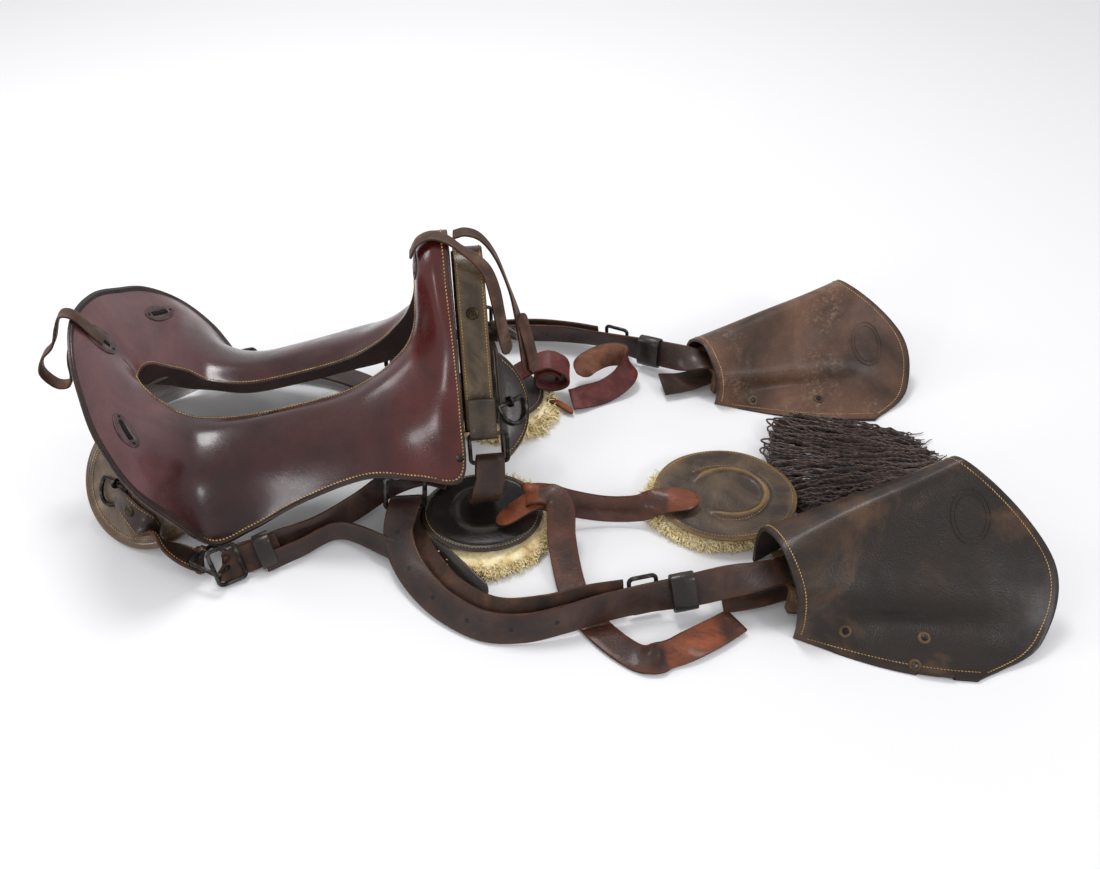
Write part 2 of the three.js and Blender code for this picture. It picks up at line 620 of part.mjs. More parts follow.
// ---- tack laid out around the saddle ----------------------------------------------------------
// Quarter straps from the rings down to the ring safes.
const TACK_STRAPS = {
  front_quarter_strap_near: { width: GIRTH_STRAP_W, steps: 12, leather: STRAP_LEATHER, stops: [
    [[-46, -98, 82], [1, 0.12, 0]], [[-50, -106, 70], [1, 0.12, 0]], [[-53, -104, 56], [1, 0.15, 0]],
    [[-56, -92, 44], [1, 0.2, 0]], [[-60, -72, 34], [1, 0.25, 0]],
  ] },
  front_quarter_strap_far: { width: GIRTH_STRAP_W, steps: 12, leather: STRAP_LEATHER, stops: [
    [[-75, 172, 82], [1, 0.12, 0]], [[-72, 180, 68], [1, 0.12, 0]], [[-66, 176, 50], [1, 0.15, 0]],
    [[-60, 160, 36], [1, 0.1, 0]], [[-54, 140, 30], [1, 0.1, 0]],
  ] },
  rear_quarter_strap_near: { width: GIRTH_STRAP_W, steps: 24, leather: STRAP_LEATHER, stops: [
    [[-326, -153, 15], [0.5, 0.6, 0.6]], [[-308, -146, 17], [0.4, 0.6, 0.7]],
    [[-286, -134, 19], [0.2, 0.4, 0.9]], [[-246, -116, 22], [0.1, 0.3, 0.95]],
    [[-205, -86, 26], [0, 0.4, 0.9]], [[-165, -50, 31], [0, 0.6, 0.7]],
    [[-128, -40, 36], [-0.1, 0.8, 0.4]], [[-98, -48, 34], [-0.1, 1, 0.2]],
  ] },
  rear_quarter_strap_far: { width: GIRTH_STRAP_W, steps: 20, leather: STRAP_LEATHER, stops: [
    [[-390, 186, 24], [0.2, 1, 0.1]], [[-360, 190, 20], [0.1, 1, 0.1]], [[-300, 184, 14], [0, 1, 0]],
    [[-240, 162, 12], [0, 1, 0]], [[-184, 124, 14], [0.2, 1, 0]], [[-130, 112, 25], [0, 1, 0]],
    [[-98, 112, 30], [0, 1, 0]],
  ] },
  latigo_near: { width: GIRTH_STRAP_W, steps: 46, leather: LATIGO_LEATHER, stops: [
    [[192, -84, 34], [0.1, 1, 0.1]], [[162, -84, 36], [0, 1, 0.3]], [[140, -84, 31], [0, 0.8, 0.6]],
    [[122, -84, 22], [0, 0.5, 0.85]],
    [[85, -84, 21], [0, 0.4, 0.9]], [[44, -84, 30], [0, 0.5, 0.85]], [[14, -84, 41], [-0.2, 0.8, 0.6]],
    [[-6, -88, 46], [-0.3, 0.9, 0.2]], [[4, -92, 53], [0.2, 1, -0.1]], [[22, -94, 53], [1, 0.6, 0]],
    [[32, -106, 44], [1, 0.1, 0.1]], [[33, -130, 26], [1, 0, 0.1]], [[38, -162, 13], [1, 0.1, 0]],
    [[46, -194, 5], [1, 0.3, 0]], [[60, -226, 3], [0.9, 0.5, 0]], [[82, -254, 3], [0.7, 0.8, 0]],
    [[108, -276, 3.6], [0.4, 1, 0.05]], [[126, -283, 10], [0.2, 0.8, 0.45]], [[142, -281, 15], [-0.1, 0.5, 0.8]],
    [[168, -272, 12], [-0.2, 0.8, 0.5]], [[198, -259, 8], [-0.3, 0.9, 0.25]], [[222, -245, 4.5], [-0.4, 1, 0]],
  ] },
  latigo_far: { width: GIRTH_STRAP_W, steps: 48, leather: LATIGO_LEATHER, stops: [
    [[-34, 140, 32], [0, 1, 0.2]], [[-16, 146, 42], [0, 1, 0.2]], [[2, 148, 52], [0, 1, 0.2]],
    [[20, 148, 57], [0, 1, 0.2]], [[38, 146, 49], [0, 1, 0.2]], [[44, 144, 36], [0, 1, 0.2]],
    [[37, 144, 26], [0, 1, 0.1]], [[20, 144, 22.5], [0, 1, 0.1]], [[4, 145, 27.5], [0, 1, 0.1]],
    [[1, 146, 37], [0, 1, 0.1]], [[10, 147, 46], [0, 1, 0.1]], [[24, 147, 48], [0, 1, 0.1]],
    [[33, 147, 40], [0, 1, 0.1]], [[30, 150, 32], [0.1, 1, 0.1]],
  ] },
  latigo_far_end: { width: GIRTH_STRAP_W, steps: 24, leather: LATIGO_LEATHER, stops: [
    [[48, 122, 11], [0.6, 0.8, 0.3]], [[66, 126, 13], [0.3, 0.9, 0.5]], [[92, 138, 12], [0, 0.8, 0.6]],
    [[116, 154, 19], [-0.4, 0.7, 0.6]], [[126, 170, 28], [-0.5, 0.4, 0.8]], [[120, 186, 34], [-0.3, 0.3, 0.9]],
    [[98, 186, 36], [0.1, 0.5, 0.9]], [[74, 178, 30], [0.2, 0.7, 0.8]], [[56, 166, 20], [0.3, 0.8, 0.6]],
  ] },
};
for (const [name, { width, steps, leather, stops }] of Object.entries(TACK_STRAPS)) {
  node(name, strap(stops, width, steps), leather, set);
}

// ---- ring safes: leather discs over sheepskin ------------------------------------------------
// A low dome on a flat base, turned and then stretched to an oval.
const PAD_SIDES = 28;
function pad(centre, reachX, reachY, height, edge) {
  const profile = [[0, 0], [0.96, 0], [1, edge * 0.5], [0.97, edge], [0.75, height * 0.82],
    [0.4, height * 0.97], [0, height]];
  const dome = new THREE.LatheGeometry(profile.map(outlineVector), PAD_SIDES);
  return dome.rotateX(Math.PI / 2).scale(reachX, reachY, 1).translate(...centre);
}
const PADS = [
  { name: "safe_fleece_near", centre: [-58, -98, 0.2], reach: [80, 74], height: 20, edge: 12, skin: FLEECE },
  { name: "ring_safe_near", centre: [-58, -90, 21], reach: [70, 62], height: 6, edge: 3, skin: BLACK_LEATHER },
  { name: "safe_fleece_far", centre: [-52, 118, 0.2], reach: [78, 66], height: 16, edge: 10, skin: FLEECE },
  { name: "ring_safe_far", centre: [-56, 124, 17], reach: [68, 58], height: 6, edge: 3, skin: BLACK_LEATHER },
  { name: "cincha_fleece", centre: [218, -66, 0.2], reach: [80, 66], height: 18, edge: 11, skin: FLEECE },
  { name: "cincha_safe", centre: [226, -61, 19], reach: [84, 74], height: 8, edge: 4, skin: SKIRT_LEATHER },
];
for (const { name, centre, reach, height, edge, skin } of PADS) {
  node(name, pad(centre, ...reach, height, edge), skin, set);
}

// ---- cincha: the mohair girth, a flat fan of cords spread on the floor ------------------------
const FAN = [[292, 6], [306, 64], [334, 84], [372, 78], [404, 72], [444, 66], [474, 58], [496, 30],
  [505, 4], [486, -16], [440, -38], [383, -66], [322, -80], [296, -44]];
const MOHAIR_T = 18;
function fanShape() {
  return new THREE.Shape(new THREE.SplineCurve(FAN.map(outlineVector)).getPoints(40));
}
const fan = new THREE.ExtrudeGeometry(fanShape(), { depth: MOHAIR_T, bevelEnabled: false });
fan.translate(0, 0, 0.4);
node("cincha_strands", fan, MOHAIR, set);

// ---- hooded stirrups --------------------------------------------------------------------------
// Each hood lies on its open back, ridge up. Along, across (towards the far side) and up from the
// foot of the ridge at the strap end.
const HOODS = {
  near: { origin: [260, -191, 0], yaw: 14,
    top: [[0, -62, 0], [0, -62, 34], [0, -44, 66], [0, 0, 80], [0, 40, 64], [0, 50, 34], [0, 48, 1]],
    toe: [[176, -160, 0], [240, -134, 16], [276, -78, 66], [208, 0, 156], [208, 46, 110], [202, 76, 66],
      [196, 92, 32]] },
  far: { origin: [221, 172, 0], yaw: 20,
    top: [[0, -50, 0], [0, -54, 26], [0, -38, 52], [0, 0, 66], [0, 32, 50], [0, 44, 24], [0, 44, 0]],
    toe: [[196, -156, 0], [250, -120, 14], [268, -66, 56], [218, 0, 116], [226, 44, 78], [216, 78, 34],
      [196, 94, 0]] },
};
const HOOD_COLUMNS = 18;
const HOOD_ROWS = 8;
const FOLD_DEPTH = 12; // how far the sides fall in above the flange
const FLANGE_SWELL = 14; // how far the flange bows out between its ends

function hoodFrame(side) {
  const { origin, yaw } = HOODS[side];
  return new THREE.Matrix4().makeRotationZ(degrees(yaw)).setPosition(vec(origin));
}
function hoodGrid(side) {
  const { top, toe } = HOODS[side];
  const grid = [];
  for (let r = 0; r <= HOOD_ROWS; r++) {
    const share = r / HOOD_ROWS;
    const row = [];
    for (let c = 0; c <= HOOD_COLUMNS; c++) {
      const across = c / HOOD_COLUMNS;
      const p = along(top.map(vec), across).lerp(along(toe.map(vec), across), share);
      const crease = Math.exp(-(((Math.abs(across - 0.5) - 0.34) / 0.07) ** 2));
      const flange = across < 0.5 ? Math.exp(-((across / 0.08) ** 2)) : 0;
      const swell = FLANGE_SWELL * flange - Math.sign(0.5 - across) * FOLD_DEPTH * crease;
      p.y -= swell * Math.sin(Math.PI * share);
      p.z = Math.max(p.z, HOOD_T * Math.min(1, 0.2 + share));
      row.push(p);
    }
    grid.push(row);
  }
  return grid;
}
for (const side of ["near", "far"]) {
  const grid = hoodGrid(side);
  const normals = gridNormals(grid, false, false, (r) => new THREE.Vector3(grid[r][HOOD_COLUMNS / 2].x, 0, 0));
  const inner = offset(grid, normals, -HOOD_T);
  inner.forEach((row) => row.forEach((p) => { p.z = Math.max(p.z, 0.3); }));
  grid.forEach((row) => row.forEach((p) => { p.z = Math.max(p.z, 0.3); }));
  node(`hood_${side}`, shell(grid, inner, false).applyMatrix4(hoodFrame(side)), HOOD_LEATHER, set);
}

// Bent-wood stirrup lying on its back: two arms joined by the tread, and the bolt across the top.
// Inner line of an arm: distance along the hood and half the clear width there.
const STIRRUP_ARM = [[6, 20], [40, 28], [80, 34], [120, 40], [145, 40], [158, 30]];
const TREAD_A = 161; // how far the middle of the tread is from the strap end of the hood
const STIRRUP_T = 9; // thickness of the bent wood
const STIRRUP_DEPTH = 34; // width of the bent wood
const STIRRUP_LIFT = 5; // its height above the floor
const STIRRUP_SHIFT = -5; // it lies towards the near side of the hood,
const STIRRUP_LEAN = -0.03; // more so at the tread
const BOLT_A = 16; // distance of the bolt from the strap end of the hood
const BOLT_Z = 27; // height of the bolt above the floor
const BOLT_R = 6;
const BOLT_LONG = 66;
const HEEL_A = 132; // past here the wood thickens towards the tread

// Places a point of the stirrup, measured about its own middle line, in the hood's plan.
const onStirrup = (a, b) => new THREE.Vector2(a, b + STIRRUP_SHIFT + STIRRUP_LEAN * a);
function stirrupSolid() {
  const outer = STIRRUP_ARM.map(([a, b]) => (a > HEEL_A
    ? [a + STIRRUP_T * 0.8, b + STIRRUP_T * 0.7]
    : [a, b + STIRRUP_T]));
  const farArm = (arm) => arm.map(([a, b]) => [a, -b]).reverse();
  const inside = [...STIRRUP_ARM, [TREAD_A, 0], ...farArm(STIRRUP_ARM)];
  const outside = [...outer, [TREAD_A + STIRRUP_T, 0], ...farArm(outer)].reverse();
  const shape = new THREE.Shape([...inside, ...outside].map(([a, b]) => onStirrup(a, b)));
  const frame = new THREE.ExtrudeGeometry(shape, { depth: STIRRUP_DEPTH, bevelEnabled: false });
  frame.translate(0, 0, STIRRUP_LIFT);
  const bolt = new THREE.CylinderGeometry(BOLT_R, BOLT_R, BOLT_LONG, 12);
  const { x, y } = onStirrup(BOLT_A, 0);
  return fromSolid(solid(frame).add(solid(bolt.translate(x, y, BOLT_Z))));
}
for (const side of ["near", "far"]) {
  node(`stirrup_${side}`, stirrupSolid().applyMatrix4(hoodFrame(side)), ASH_WOOD, set);
}

// ---- stirrup straps: from the buckle back to the saddle, over the loop, through the buckle and
// round the stirrup bolt ------------------------------------------------------------------------
const STIRRUP_STRAPS = {
  near: [
    [[98, -212, 26], [0, 0.35, 1]], [[60, -216, 24], [0, 0.35, 1]], [[18, -222, 23], [0, 0.4, 1]],
    [[-30, -220, 22], [0.1, 0.5, 1]], [[-68, -204, 21], [0.3, 0.6, 1]], [[-98, -174, 20], [0.7, 0.5, 0.7]],
    [[-130, -139, 18], [0.9, 0.3, 0.35]], [[-142, -110, 17.5], [1, 0.12, 0.1]],
    [[-145, -90, 20], [1, 0.12, 0]], [[-145, -77, 27], [1, 0.12, 0]], [[-145, -80, 37], [1, 0.12, -0.05]],
    [[-145, -93, 43], [1, 0.12, -0.05]], [[-148, -110, 39], [1, 0.12, 0]],
    [[-150, -130, 30], [1, 0, 0.3]], [[-140, -160, 22], [0.9, 0.3, 0.5]],
    [[-119, -193, 18], [0.7, 0.5, 0.7]], [[-89, -224, 17], [0.4, 0.6, 0.9]], [[-50, -247, 17], [0.1, 0.6, 1]],
    [[-8, -252, 19], [-0.1, 0.4, 1]], [[34, -244, 23], [-0.1, 0.3, 1]], [[76, -231, 26], [-0.1, 0.3, 1]],
    [[120, -220, 28], [0, 0.4, 1]], [[165, -211, 29], [0, 0.6, 0.8]], [[208, -205, 37], [-0.1, 0.9, 0.5]],
    [[236, -203, 43], [-0.24, 1, 0.15]], [[261.3, -196.3, 42], [-0.24, 0.97, 0]],
    [[276.9, -192.4, 37], [-0.24, 0.97, 0]], [[286.7, -190, 27], [-0.24, 0.97, 0]],
    [[276.9, -192.4, 17], [-0.24, 0.97, 0]], [[261.3, -196.3, 13], [-0.24, 0.97, 0]],
    [[234, -203, 12], [-0.24, 0.97, 0.1]], [[204, -208, 15], [0, 1, 0.4]],
  ],
  far: [
    [[88, 246, 25], [0, -0.3, 1]], [[50, 258, 24], [0, -0.3, 1]], [[0, 268, 22], [0, -0.3, 1]],
    [[-60, 268, 20], [0.1, -0.4, 1]], [[-112, 256, 19], [0.4, -0.6, 0.9]], [[-150, 230, 18], [0.8, -0.4, 0.5]],
    [[-168, 200, 16], [1, -0.2, 0.1]], [[-175, 174, 18], [1, -0.12, 0]], [[-175, 157, 26], [1, -0.12, 0]],
    [[-175, 158, 37], [1, -0.12, 0]], [[-176, 170, 43], [1, -0.12, -0.05]], [[-177, 188, 41], [1, -0.1, 0]],
    [[-174, 206, 35], [1, -0.2, 0.3]], [[-154, 228, 29], [0.8, -0.4, 0.5]], [[-118, 242, 25], [0.4, -0.6, 0.8]],
    [[-66, 250, 24], [0.1, -0.4, 1]], [[-16, 251, 24], [0, -0.3, 1]], [[40, 248, 24], [0, -0.3, 1]],
    [[90, 235, 25], [0, -0.4, 1]], [[126, 219, 26], [0, -0.1, 1]], [[158, 202, 29], [0, 0.3, 0.95]],
    [[184, 186, 34], [-0.15, 0.7, 0.7]], [[205, 173, 39], [-0.3, 0.9, 0.3]],
    [[222.9, 167.5, 41], [-0.34, 0.94, 0.05]], [[237.9, 172.3, 37], [-0.34, 0.94, 0]],
    [[247.5, 175.8, 27], [-0.34, 0.94, 0]], [[237.9, 172.3, 17], [-0.34, 0.94, 0]],
    [[222.9, 166.9, 13], [-0.34, 0.94, 0]], [[198, 158, 11], [-0.34, 0.94, 0.1]], [[170, 150, 14], [-0.2, 1, 0.3]],
  ],
};
for (const [side, stops] of Object.entries(STIRRUP_STRAPS)) {
  node(`stirrup_strap_${side}`, strap(stops, STIRRUP_STRAP_W, 3 * stops.length), STRAP_LEATHER, set);
}

// ---- buckles ----------------------------------------------------------------------------------
// A frame in the plane of the two ways; its tongue lies in it, hinged at the first bar.
const BUCKLES = {
  stirrup_buckle_near: {
    centre: [119, -213, 26], way: [1, 0.25, 0], across: [0, 0.4, 1], tongue: true,
  },
  stirrup_buckle_far: {
    centre: [113, 233, 27], way: [1, -0.45, 0], across: [0.05, -0.2, 1], tongue: true,
  },
  quarter_buckle_near: { centre: [-334, -170, 23.5], way: [1, 0.5, 0.1], across: [0.2, 0.5, 0.8] },
};
const BUCKLE_W = 42;
const BUCKLE_L = 30;
const TONGUE_R = 1.8;
for (const [name, { centre, way, across, tongue }] of Object.entries(BUCKLES)) {
  node(name, ringSolid(centre, way, across, BUCKLE_L, BUCKLE_W), IRON, set);
  if (tongue) {
    const a = vec(way).normalize();
    const half = BUCKLE_L / 2 - WIRE_R - GAP;
    const ends = [-half, half].map((reach) => vec(centre).addScaledVector(a, reach));
    node(name.replace("buckle", "tongue"), wire(ends, UP, TONGUE_R, 8, false), IRON, set);
  }
}

export default set;
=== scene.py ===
"""Looks of the riding saddle and its tack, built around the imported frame. Points are in
millimetres, in the row frame, the laid-out set or the saddle's own axes. Meshes are in metres."""

import math

import bmesh
import bpy
import numpy as np
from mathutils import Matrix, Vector
from mathutils.bvhtree import BVHTree


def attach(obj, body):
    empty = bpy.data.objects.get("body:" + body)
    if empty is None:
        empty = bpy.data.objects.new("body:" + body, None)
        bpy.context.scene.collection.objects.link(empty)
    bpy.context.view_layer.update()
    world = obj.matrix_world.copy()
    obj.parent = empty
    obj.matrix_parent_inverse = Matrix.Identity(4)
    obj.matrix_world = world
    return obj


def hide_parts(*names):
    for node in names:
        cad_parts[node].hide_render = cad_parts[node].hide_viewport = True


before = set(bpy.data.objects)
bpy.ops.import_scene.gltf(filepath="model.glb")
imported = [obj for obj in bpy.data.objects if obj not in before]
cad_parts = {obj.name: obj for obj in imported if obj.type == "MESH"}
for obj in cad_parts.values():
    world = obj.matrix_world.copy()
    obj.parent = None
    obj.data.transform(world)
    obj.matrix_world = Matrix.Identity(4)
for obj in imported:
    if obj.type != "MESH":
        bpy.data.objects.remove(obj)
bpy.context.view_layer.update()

MM = 0.001
SIDES = (("near", -1), ("far", 1))  # each side with the sign of its y
SETTLE = np.array([0.7, -11.8, 0.0])  # from the laid-out set to the row frame
SADDLE_PLACE = np.array([-280.0, 25.0, 0.0])  # the saddle's origin in the laid-out set
YAW = math.radians(6.8)  # and its turn
COVER = 3.0  # thickness of the seat's leather
STRAP_T = 3.6
HOOD_T = 4.0
WIRE_R = 2.4
HOLE_PITCH = 0.048  # metres between a strap's buckle holes


def A(*rows):
    """An array of floats from its rows, or from its numbers."""
    return np.array(rows, float)


def unit(v):
    v = np.asarray(v, float)
    return v / (np.linalg.norm(v, axis=-1, keepdims=True) + 1e-12)


def on_set(p):
    """From the laid-out set to the row frame."""
    return np.asarray(p, float) + SETTLE


def on_saddle(p):
    """From the saddle's own axes to the row frame."""
    p = np.asarray(p, float)
    c, s = math.cos(YAW), math.sin(YAW)
    return p @ A([c, s, 0], [-s, c, 0], [0, 0, 1]) + SADDLE_PLACE + SETTLE


def turn(v):
    """A direction from the saddle's own axes to the row frame."""
    return on_saddle(v) - on_saddle([0, 0, 0])


# ---- curves and grids ----------------------------------------------------------------------------
def bend(a, b, c, d, t):
    """Smooth curve from b to c, with a before and d after them."""
    return 0.5 * (2 * b + (c - a) * t + (2 * a - 5 * b + 4 * c - d) * t * t
                  + (3 * b - 3 * c + d - a) * t ** 3)


def along(points, t):
    """Points of a smooth open curve through the given ones, t from 0 to 1."""
    p = np.asarray(points, float)
    t = np.atleast_1d(np.asarray(t, float))
    last = len(p) - 1
    at = np.minimum(t * last, last - 1e-9)
    i = at.astype(int)
    ext = np.concatenate([[2 * p[0] - p[1]], p, [2 * p[-1] - p[-2]]])
    f = (at - i).reshape((-1,) + (1,) * (p.ndim - 1))
    return bend(ext[i], ext[i + 1], ext[i + 2], ext[i + 3], f)


def resample(points, step):
    """Evenly spaced rows along a polyline. Columns past the third ride along."""
    p = np.asarray(points, float)
    length = np.concatenate([[0], np.cumsum(np.linalg.norm(np.diff(p, axis=0), axis=1))])
    count = max(2, int(length[-1] / step))
    at = (np.arange(count) + 0.5) * length[-1] / count
    return np.stack([np.interp(at, length, p[:, k]) for k in range(p.shape[1])], 1)


def grid_faces(rows, cols, close_rows, close_cols):
    """Quads over a grid of vertices that is numbered row by row."""
    r = np.arange(rows if close_rows else rows - 1)[:, None]
    c = np.arange(cols if close_cols else cols - 1)[None, :]
    r2, c2 = (r + 1) % rows, (c + 1) % cols
    quads = np.broadcast_arrays(r * cols + c, r * cols + c2, r2 * cols + c2, r2 * cols + c)
    return np.stack(quads, -1).reshape(-1, 4).tolist()


def capped(rows, cols):
    """Quads of a tube of rings, and a face over each end."""
    last = (rows - 1) * cols
    return grid_faces(rows, cols, False, True) + [list(range(cols)), list(range(last, last + cols))]


def circle(count):
    """Evenly spaced angles."""
    return np.arange(count) * 2 * math.pi / count


def grid_normals(g, close_rows, close_cols, centre):
    """Normals of a grid of points, turned away from the centre."""
    up = np.roll(g, -1, 0) - np.roll(g, 1, 0)
    side = np.roll(g, -1, 1) - np.roll(g, 1, 1)
    if not close_rows:
        up[0], up[-1] = g[1] - g[0], g[-1] - g[-2]
    if not close_cols:
        side[:, 0], side[:, -1] = g[:, 1] - g[:, 0], g[:, -1] - g[:, -2]
    n = unit(np.cross(up, side))
    flip = np.sum(n * (g - centre), -1, keepdims=True) < 0
    return np.where(flip, -n, n)


# ---- pieces --------------------------------------------------------------------------------------
BEVEL_FROM = math.radians(50)


def piece(name, verts, faces, mats, body, slot, stands_for=(), slots=None, uv=None,
          floats=None, bevel=0.0):
    """A mesh in metres from millimetre points; slots gives a material number for each face, uv a
    pair for each vertex, floats named values or colours for each vertex."""
    mesh = bpy.data.meshes.new(name)
    verts = np.asarray(verts, float).reshape(-1, 3)
    mesh.from_pydata((verts * MM).tolist(), [], faces)
    for m in mats if isinstance(mats, (list, tuple)) else [mats]:
        mesh.materials.append(m)
    if slots is not None:
        mesh.polygons.foreach_set("material_index", np.asarray(slots, np.int32))
    mesh.polygons.foreach_set("use_smooth", np.ones(len(mesh.polygons), bool))
    if uv is not None:
        layer = mesh.uv_layers.new(name="run")
        at = np.zeros(len(mesh.loops), np.int32)
        mesh.loops.foreach_get("vertex_index", at)
        layer.data.foreach_set("uv", np.asarray(uv, np.float32)[at].ravel())
    for key, values in (floats or {}).items():
        values = np.asarray(values, np.float32)
        if values.ndim == 2:
            full = np.concatenate([values, np.ones((len(values), 1), np.float32)], 1)
            mesh.attributes.new(key, "FLOAT_COLOR", "POINT").data.foreach_set("color", full.ravel())
        else:
            mesh.attributes.new(key, "FLOAT", "POINT").data.foreach_set("value", values)
    mesh.validate()
    mesh.update()
    obj = bpy.data.objects.new(name, mesh)
    bpy.context.scene.collection.objects.link(obj)
    turn_out(obj)
    if bevel:
        edge = obj.modifiers.new("edge", "BEVEL")
        edge.width, edge.segments = bevel * MM, 2
        edge.limit_method, edge.angle_limit = "ANGLE", BEVEL_FROM
    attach(obj, body)
    if stands_for:
        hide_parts(*stands_for)
    return obj


def turn_out(obj):
    """Faces all turned outwards."""
    bm = bmesh.new()
    bm.from_mesh(obj.data)
    bmesh.ops.recalc_face_normals(bm, faces=bm.faces)
    bm.to_mesh(obj.data)
    bm.free()


class Soup:
    """Many small closed shapes that become one piece."""

    def __init__(self):
        self.v, self.f, self.m, self.n = [], [], [], 0

    def add(self, verts, faces, mat=0):
        self.v.append(np.asarray(verts, float).reshape(-1, 3))
        self.f += [[i + self.n for i in f] for f in faces]
        self.m += [mat] * len(faces)
        self.n += len(self.v[-1])

    def make(self, name, mats, body, slot, **more):
        return piece(name, np.concatenate(self.v), self.f, mats, body, slot, slots=self.m, **more)


def tube_mesh(route, radius, sides=10, closed=False, normal=None):
    """Round wire along a route; a planar route gives its normal."""
    p = np.asarray(route, float)
    n = len(p)
    way = np.roll(p, -1, 0) - np.roll(p, 1, 0)
    if not closed:
        way[0], way[-1] = p[1] - p[0], p[-1] - p[-2]
    way = unit(way)
    if normal is None:
        up = np.zeros_like(p)
        ref = A(0, 0, 1.0) if abs(way[0][2]) < 0.9 else A(1.0, 0, 0)
        up[0] = unit(np.cross(np.cross(way[0], ref), way[0]))
        for k in range(1, n):
            up[k] = unit(up[k - 1] - way[k] * np.dot(up[k - 1], way[k]))
    else:
        up = np.tile(unit(normal), (n, 1))
    side = unit(np.cross(way, up))
    radius = np.broadcast_to(np.asarray(radius, float), (n,))[:, None, None]
    a = circle(sides)[None, :, None]
    rings = p[:, None] + radius * (side[:, None] * np.cos(a) + up[:, None] * np.sin(a))
    return rings.reshape(-1, 3), grid_faces(n, sides, True, True) if closed else capped(n, sides)


def lathe_mesh(centre, normal, profile, sides=20):
    """Turned shape about a normal: profile is radius and height from the middle outwards."""
    n = unit(normal)
    x = unit(np.cross(n, A(0.3, 0.9, 0.2) if abs(n[2]) > 0.9 else A(0, 0, 1.0)))
    y = np.cross(n, x)
    a = circle(sides)[:, None]
    ring = np.cos(a) * x + np.sin(a) * y
    verts = [np.asarray(centre, float) + r * ring + h * n for r, h in profile]
    return np.concatenate(verts), capped(len(profile), sides)


# Sections of a stitch: place along it, radius and height as shares of its length and thickness.
STITCH = ((-0.5, 0.35, 0.0), (-0.3, 0.9, 0.25), (0.3, 0.9, 0.25), (0.5, 0.35, 0.0))
STITCH_SIDES = 5
STITCH_SLANT = 0.25
STITCH_LIFT = 0.1


def stitches(soup, path, normals, pitch, long, thick):
    """A row of sewn stitches along a path, each a small raised thread."""
    both = resample(np.concatenate([path, normals], 1), pitch)
    p, n = both[:, :3], unit(both[:, 3:])
    way = unit(np.gradient(p, axis=0))
    side = unit(np.cross(way, n))
    way = unit(way + STITCH_SLANT * side)
    a = circle(STITCH_SIDES)[:, None]
    faces = capped(len(STITCH), STITCH_SIDES)
    for k in range(len(p)):
        rings = []
        for s, r, h in STITCH:
            c = p[k] + way[k] * s * long + n[k] * (h * thick + STITCH_LIFT)
            rings.append(c + r * thick * (np.cos(a) * side[k] + np.sin(a) * n[k]))
        soup.add(np.concatenate(rings), faces)


# ---- materials -----------------------------------------------------------------------------------
def srgb(*rgb):
    """A display colour, 0 to 255, as the linear colour that a shader takes."""
    return tuple(c / 255 / 12.92 if c <= 10 else ((c / 255 + 0.055) / 1.055) ** 2.4 for c in rgb) + (1.0,)


def darker(rgb, share):
    return [int(c * share) for c in rgb]


class Shade:
    """A material and short ways to add nodes to it."""

    def __init__(self, name):
        self.mat = bpy.data.materials.new(name)
        self.mat.use_nodes = True
        self.t = self.mat.node_tree
        self.bsdf = self.t.nodes["Principled BSDF"]
        self.at = self.add("ShaderNodeTexCoord").outputs["Object"]

    def plug(self, node, key, value):
        """Another node's output, or a plain value, into an input."""
        if isinstance(value, bpy.types.NodeSocket):
            self.t.links.new(value, node.inputs[key])
        else:
            node.inputs[key].default_value = value

    def add(self, kind, inputs=None, **props):
        node = self.t.nodes.new(kind)
        for key, value in props.items():
            setattr(node, key, value)
        for key, value in (inputs or {}).items():
            self.plug(node, key, value)
        return node

    def noise(self, scale, detail=4, rough=0.55, at=None, distortion=0.0):
        inputs = {"Vector": at or self.at, "Scale": scale, "Detail": detail, "Roughness": rough,
                  "Distortion": distortion}
        return self.add("ShaderNodeTexNoise", inputs).outputs["Fac"]

    def stretch(self, x, y, z, turn_z=0.0):
        return self.add("ShaderNodeMapping", {"Vector": self.at, "Scale": (x, y, z),
                                              "Rotation": (0, 0, turn_z)}).outputs["Vector"]

    def ramp(self, fac, *stops):
        n = self.add("ShaderNodeValToRGB", {"Fac": fac})
        while len(n.color_ramp.elements) < len(stops):
            n.color_ramp.elements.new(0.5)
        for e, (pos, col) in zip(n.color_ramp.elements, stops):
            e.position = pos
            e.color = col if isinstance(col, tuple) else (col, col, col, 1)
        return n.outputs["Color"]

    def tones(self, fac, places, *colours):
        return self.ramp(fac, *[(at, srgb(*rgb)) for at, rgb in zip(places, colours)])

    def between(self, fac, low, high):
        """The middle of a noise's range, spread from low to high."""
        return self.add("ShaderNodeMapRange", {"Value": fac, "From Min": 0.3, "From Max": 0.7, "To Min": low,
                                               "To Max": high}).outputs["Result"]

    def mix(self, fac, a, b, blend="MIX"):
        return self.add("ShaderNodeMix", {0: fac, 6: a, 7: b}, data_type="RGBA", blend_type=blend).outputs[2]

    def calc(self, op, a, b=0.0):
        return self.add("ShaderNodeMath", {0: a, 1: b}, operation=op).outputs[0]

    def value(self, name):
        return self.add("ShaderNodeAttribute", attribute_name=name).outputs["Fac"]

    def colour(self, name):
        return self.add("ShaderNodeAttribute", attribute_name=name).outputs["Color"]

    def link(self, key, socket):
        self.t.links.new(socket, self.bsdf.inputs[key])

    def bump(self, *layers):
        """Each layer is a height and its depth in millimetres."""
        normal = None
        for height, depth in layers:
            n = self.add("ShaderNodeBump", {"Height": height, "Distance": depth * MM, "Strength": 1.0})
            if normal is not None:
                self.t.links.new(normal, n.inputs["Normal"])
            normal = n.outputs["Normal"]
        self.link("Normal", normal)


# Near-black painted shade for the inside of the buckle holes, which are painted on and not cut through
HOLE_SHADE = (9, 7, 6)
HOLE_R = 0.5 / 200  # metres


